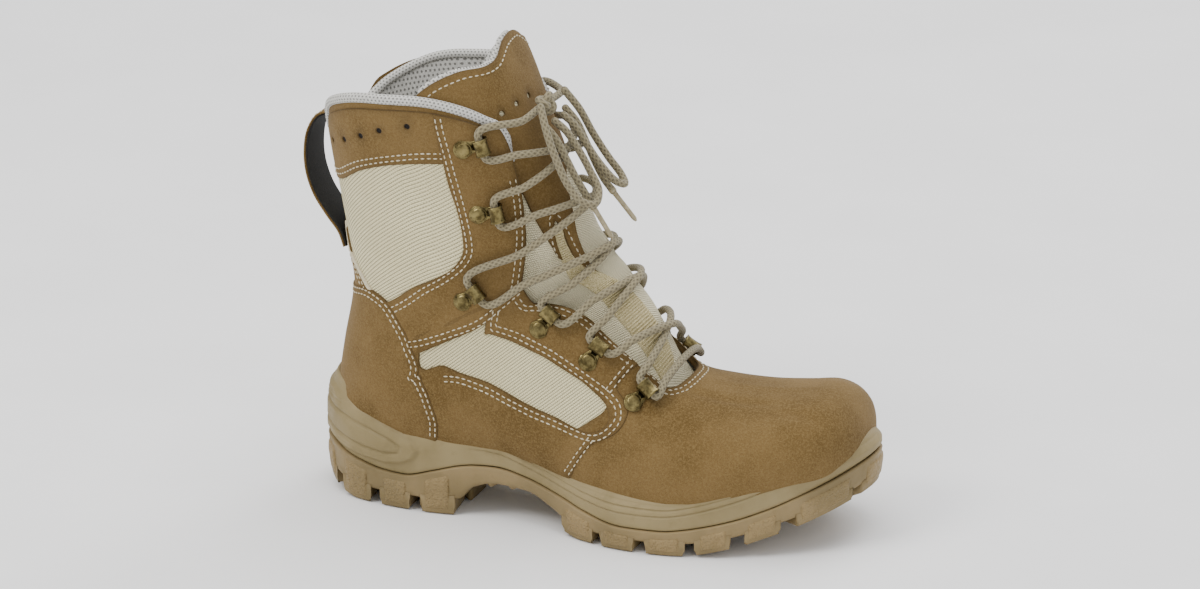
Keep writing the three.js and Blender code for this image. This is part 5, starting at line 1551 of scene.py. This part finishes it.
over, top, under = layers["over"][1], layers["top"][1], layers["under"][1]
seam([(collarRow(.292, .55), .2925), (23.2, .2915), (22.40, .290), (21.40, .288), (20.35, .2865), (19.70, .2845),
      (19.28, .280), (19.0, .270), (18.75, .248), (18.62, .224), (18.48, .204), (18.40, .17), (18.45, .15),
      (18.85, .118), (19.4, .085), (20.1, .045), (20.35, .02), (20.42, 0)], over)
seam([(17.35, .2135), (17.20, .232), (17.02, .258), (16.84, .292), (17.06, .318), (17.24, .336)], over)
seam(counterSeam, top)
seam([(16.86, .309), (14.6, .294), (12.55, .280), (11.35, .2705), (10.9, .268), (10.42, .2595), (10.16, .236),
      (10.16, .205), (10.48, .168), (11.4, .167), (12.45, .178), (13.60, .195), (14.4, .203), (14.65, .203)], over)
seam([(10.55, .06), (10.52, .12), (10.48, .162)], over)
seam([(10.84, .276), (10.84, .345)], over)
seam([(16.75, .337), (15.3, .3475), (14.05, .352), (13.1, .353), (12.15, .348), (11.25, .347), (10.95, .35)], over)
seam([(21.1, .3695), (20.65, .3655), (20.1, .359), (19.45, .352), (18.9, .3455), (18, .338), (17.5, .334)], over)
seam([(10.35, .3535), (9.9, .3605), (9.1, .38), (8.78, .412), (8.62, .45), (8.57, .5)], under)
seam([(22.28, .282), (22.36, .254), (22.36, .224), (22.26, .174), (21.9, .1), (21.84, .05), (21.82, 0)], under)
seam(tongueEdge(.28, .715, .38, 24), tongueLayers[1], double=False, sides=(0,), surface=tongueSkin)
keyhole = [(17.95, .3985), (18.6, .3975), (19.2, .4015), (19.62, .4085), (19.74, .4155), (19.55, .4245), (19.0, .4285),
           (18.3, .4305), (17.6, .432), (16.6, .4345), (15.7, .436)]
seam(keyhole, tongueLayers[1], double=False, sides=(0,), surface=tongueSkin)
loopOut = outOf(loopLine)
for offset in (-9.8, 9.8):
    seamPaths.append((toFrame(loopLine + loopOut * 1.25 + np.array([0, offset, 0]))[2:-2], loopOut[2:-2]))
repeatAlong("stitches", stitchTree(), seamPaths, {
    "Pitch": .0033, "Length": .0024, "Width": .0008, "Height": .0007, "Seed": 3, "Thread": thread})

ribPaths = []
for row in np.arange(9.65, 19.2, .125):
    left = np.interp(row, [9.5, 10.35, 12.3, 13.7, 16, 17.65, 18.15, 19.2],
                     [.405, .402, .401, .407, .405, .4035, .403, .41])
    right = np.interp(row, [9.5, 9.9, 11.1, 12, 13.1, 14.3, 15.6, 17.6, 18.4, 19.2],
                      [.495, .494, .484, .476, .467, .452, .439, .4225, .4195, .418])
    around = np.linspace(left + .0015, right - .0015, 11)
    ribPaths.append(pathOn(tongueSkin, np.column_stack([np.full(11, row), around]), .6))
repeatAlong("tape_ribs", ribTree(), ribPaths, {"Radius": .0006, "Sides": 6, "Fabric": webbing})

pipeRow = pathThrough([(18.7, .149), (19.1, .1165), (19.62, .0865), (20.15, .052), (20.5, .034)], 2)
pipePaths = [pathOn(skin, path, .9) for path in (pipeRow, np.column_stack([pipeRow[:, 0], 1 - pipeRow[:, 1]]))]
repeatAlong("piping", ribTree(), pipePaths, {"Radius": .0011, "Sides": 10, "Fabric": thread})
print("seams stitched")


# Floor and light

floorSetup = {"half": 3.0, "low": -.0004}


def addStage(setup):
    half, low = setup["half"], setup["low"]
    mesh = bpy.data.meshes.new("floor")
    mesh.from_pydata([(-half, -half, low), (half, -half, low), (half, half, low), (-half, half, low)], [],
                     [(0, 1, 2, 3)])
    floor = bpy.data.objects.new("floor", mesh)
    scene.collection.objects.link(floor)

    def paint(node):
        grain = noise(node, objectPlace(node), 9, 3)
        return {"Base Color": blend(node, ramp(node, grain, .3, .7), (.9, .895, .885, 1), (.93, .925, .915, 1)),
                "Roughness": .85, "Specular IOR Level": .2}

    mesh.materials.append(newFinish("floor", paint))


def addLamp(name, place, aim, size, power, tint=(1, 1, 1)):
    data = bpy.data.lights.new(name, "AREA")
    data.shape, data.size, data.energy, data.color = "SQUARE", size, power, tint
    lamp = bpy.data.objects.new(name, data)
    lamp.location = place
    lamp.rotation_euler = (Vector(aim) - Vector(place)).to_track_quat("-Z", "Y").to_euler()
    scene.collection.objects.link(lamp)


addStage(floorSetup)
addLamp("key", (-1.1, -1.3, 1.9), (0, 0, .1), .9, 29, (1, .985, .96))
addLamp("fill", (1.6, -1.5, .9), (0, 0, .1), 1.6, 7, (.97, .985, 1))
addLamp("back", (.5, 1.6, 1.5), (0, 0, .1), 1.0, 16)
addLamp("above", (0, 0, 2.6), (0, 0, 0), 2.4, 52)
world = bpy.data.worlds.new("studio")
world.use_nodes = True
world.node_tree.nodes["Background"].inputs["Color"].default_value = (.95, .96, 1, 1)
world.node_tree.nodes["Background"].inputs["Strength"].default_value = .8
scene.world = world
print("stage set")
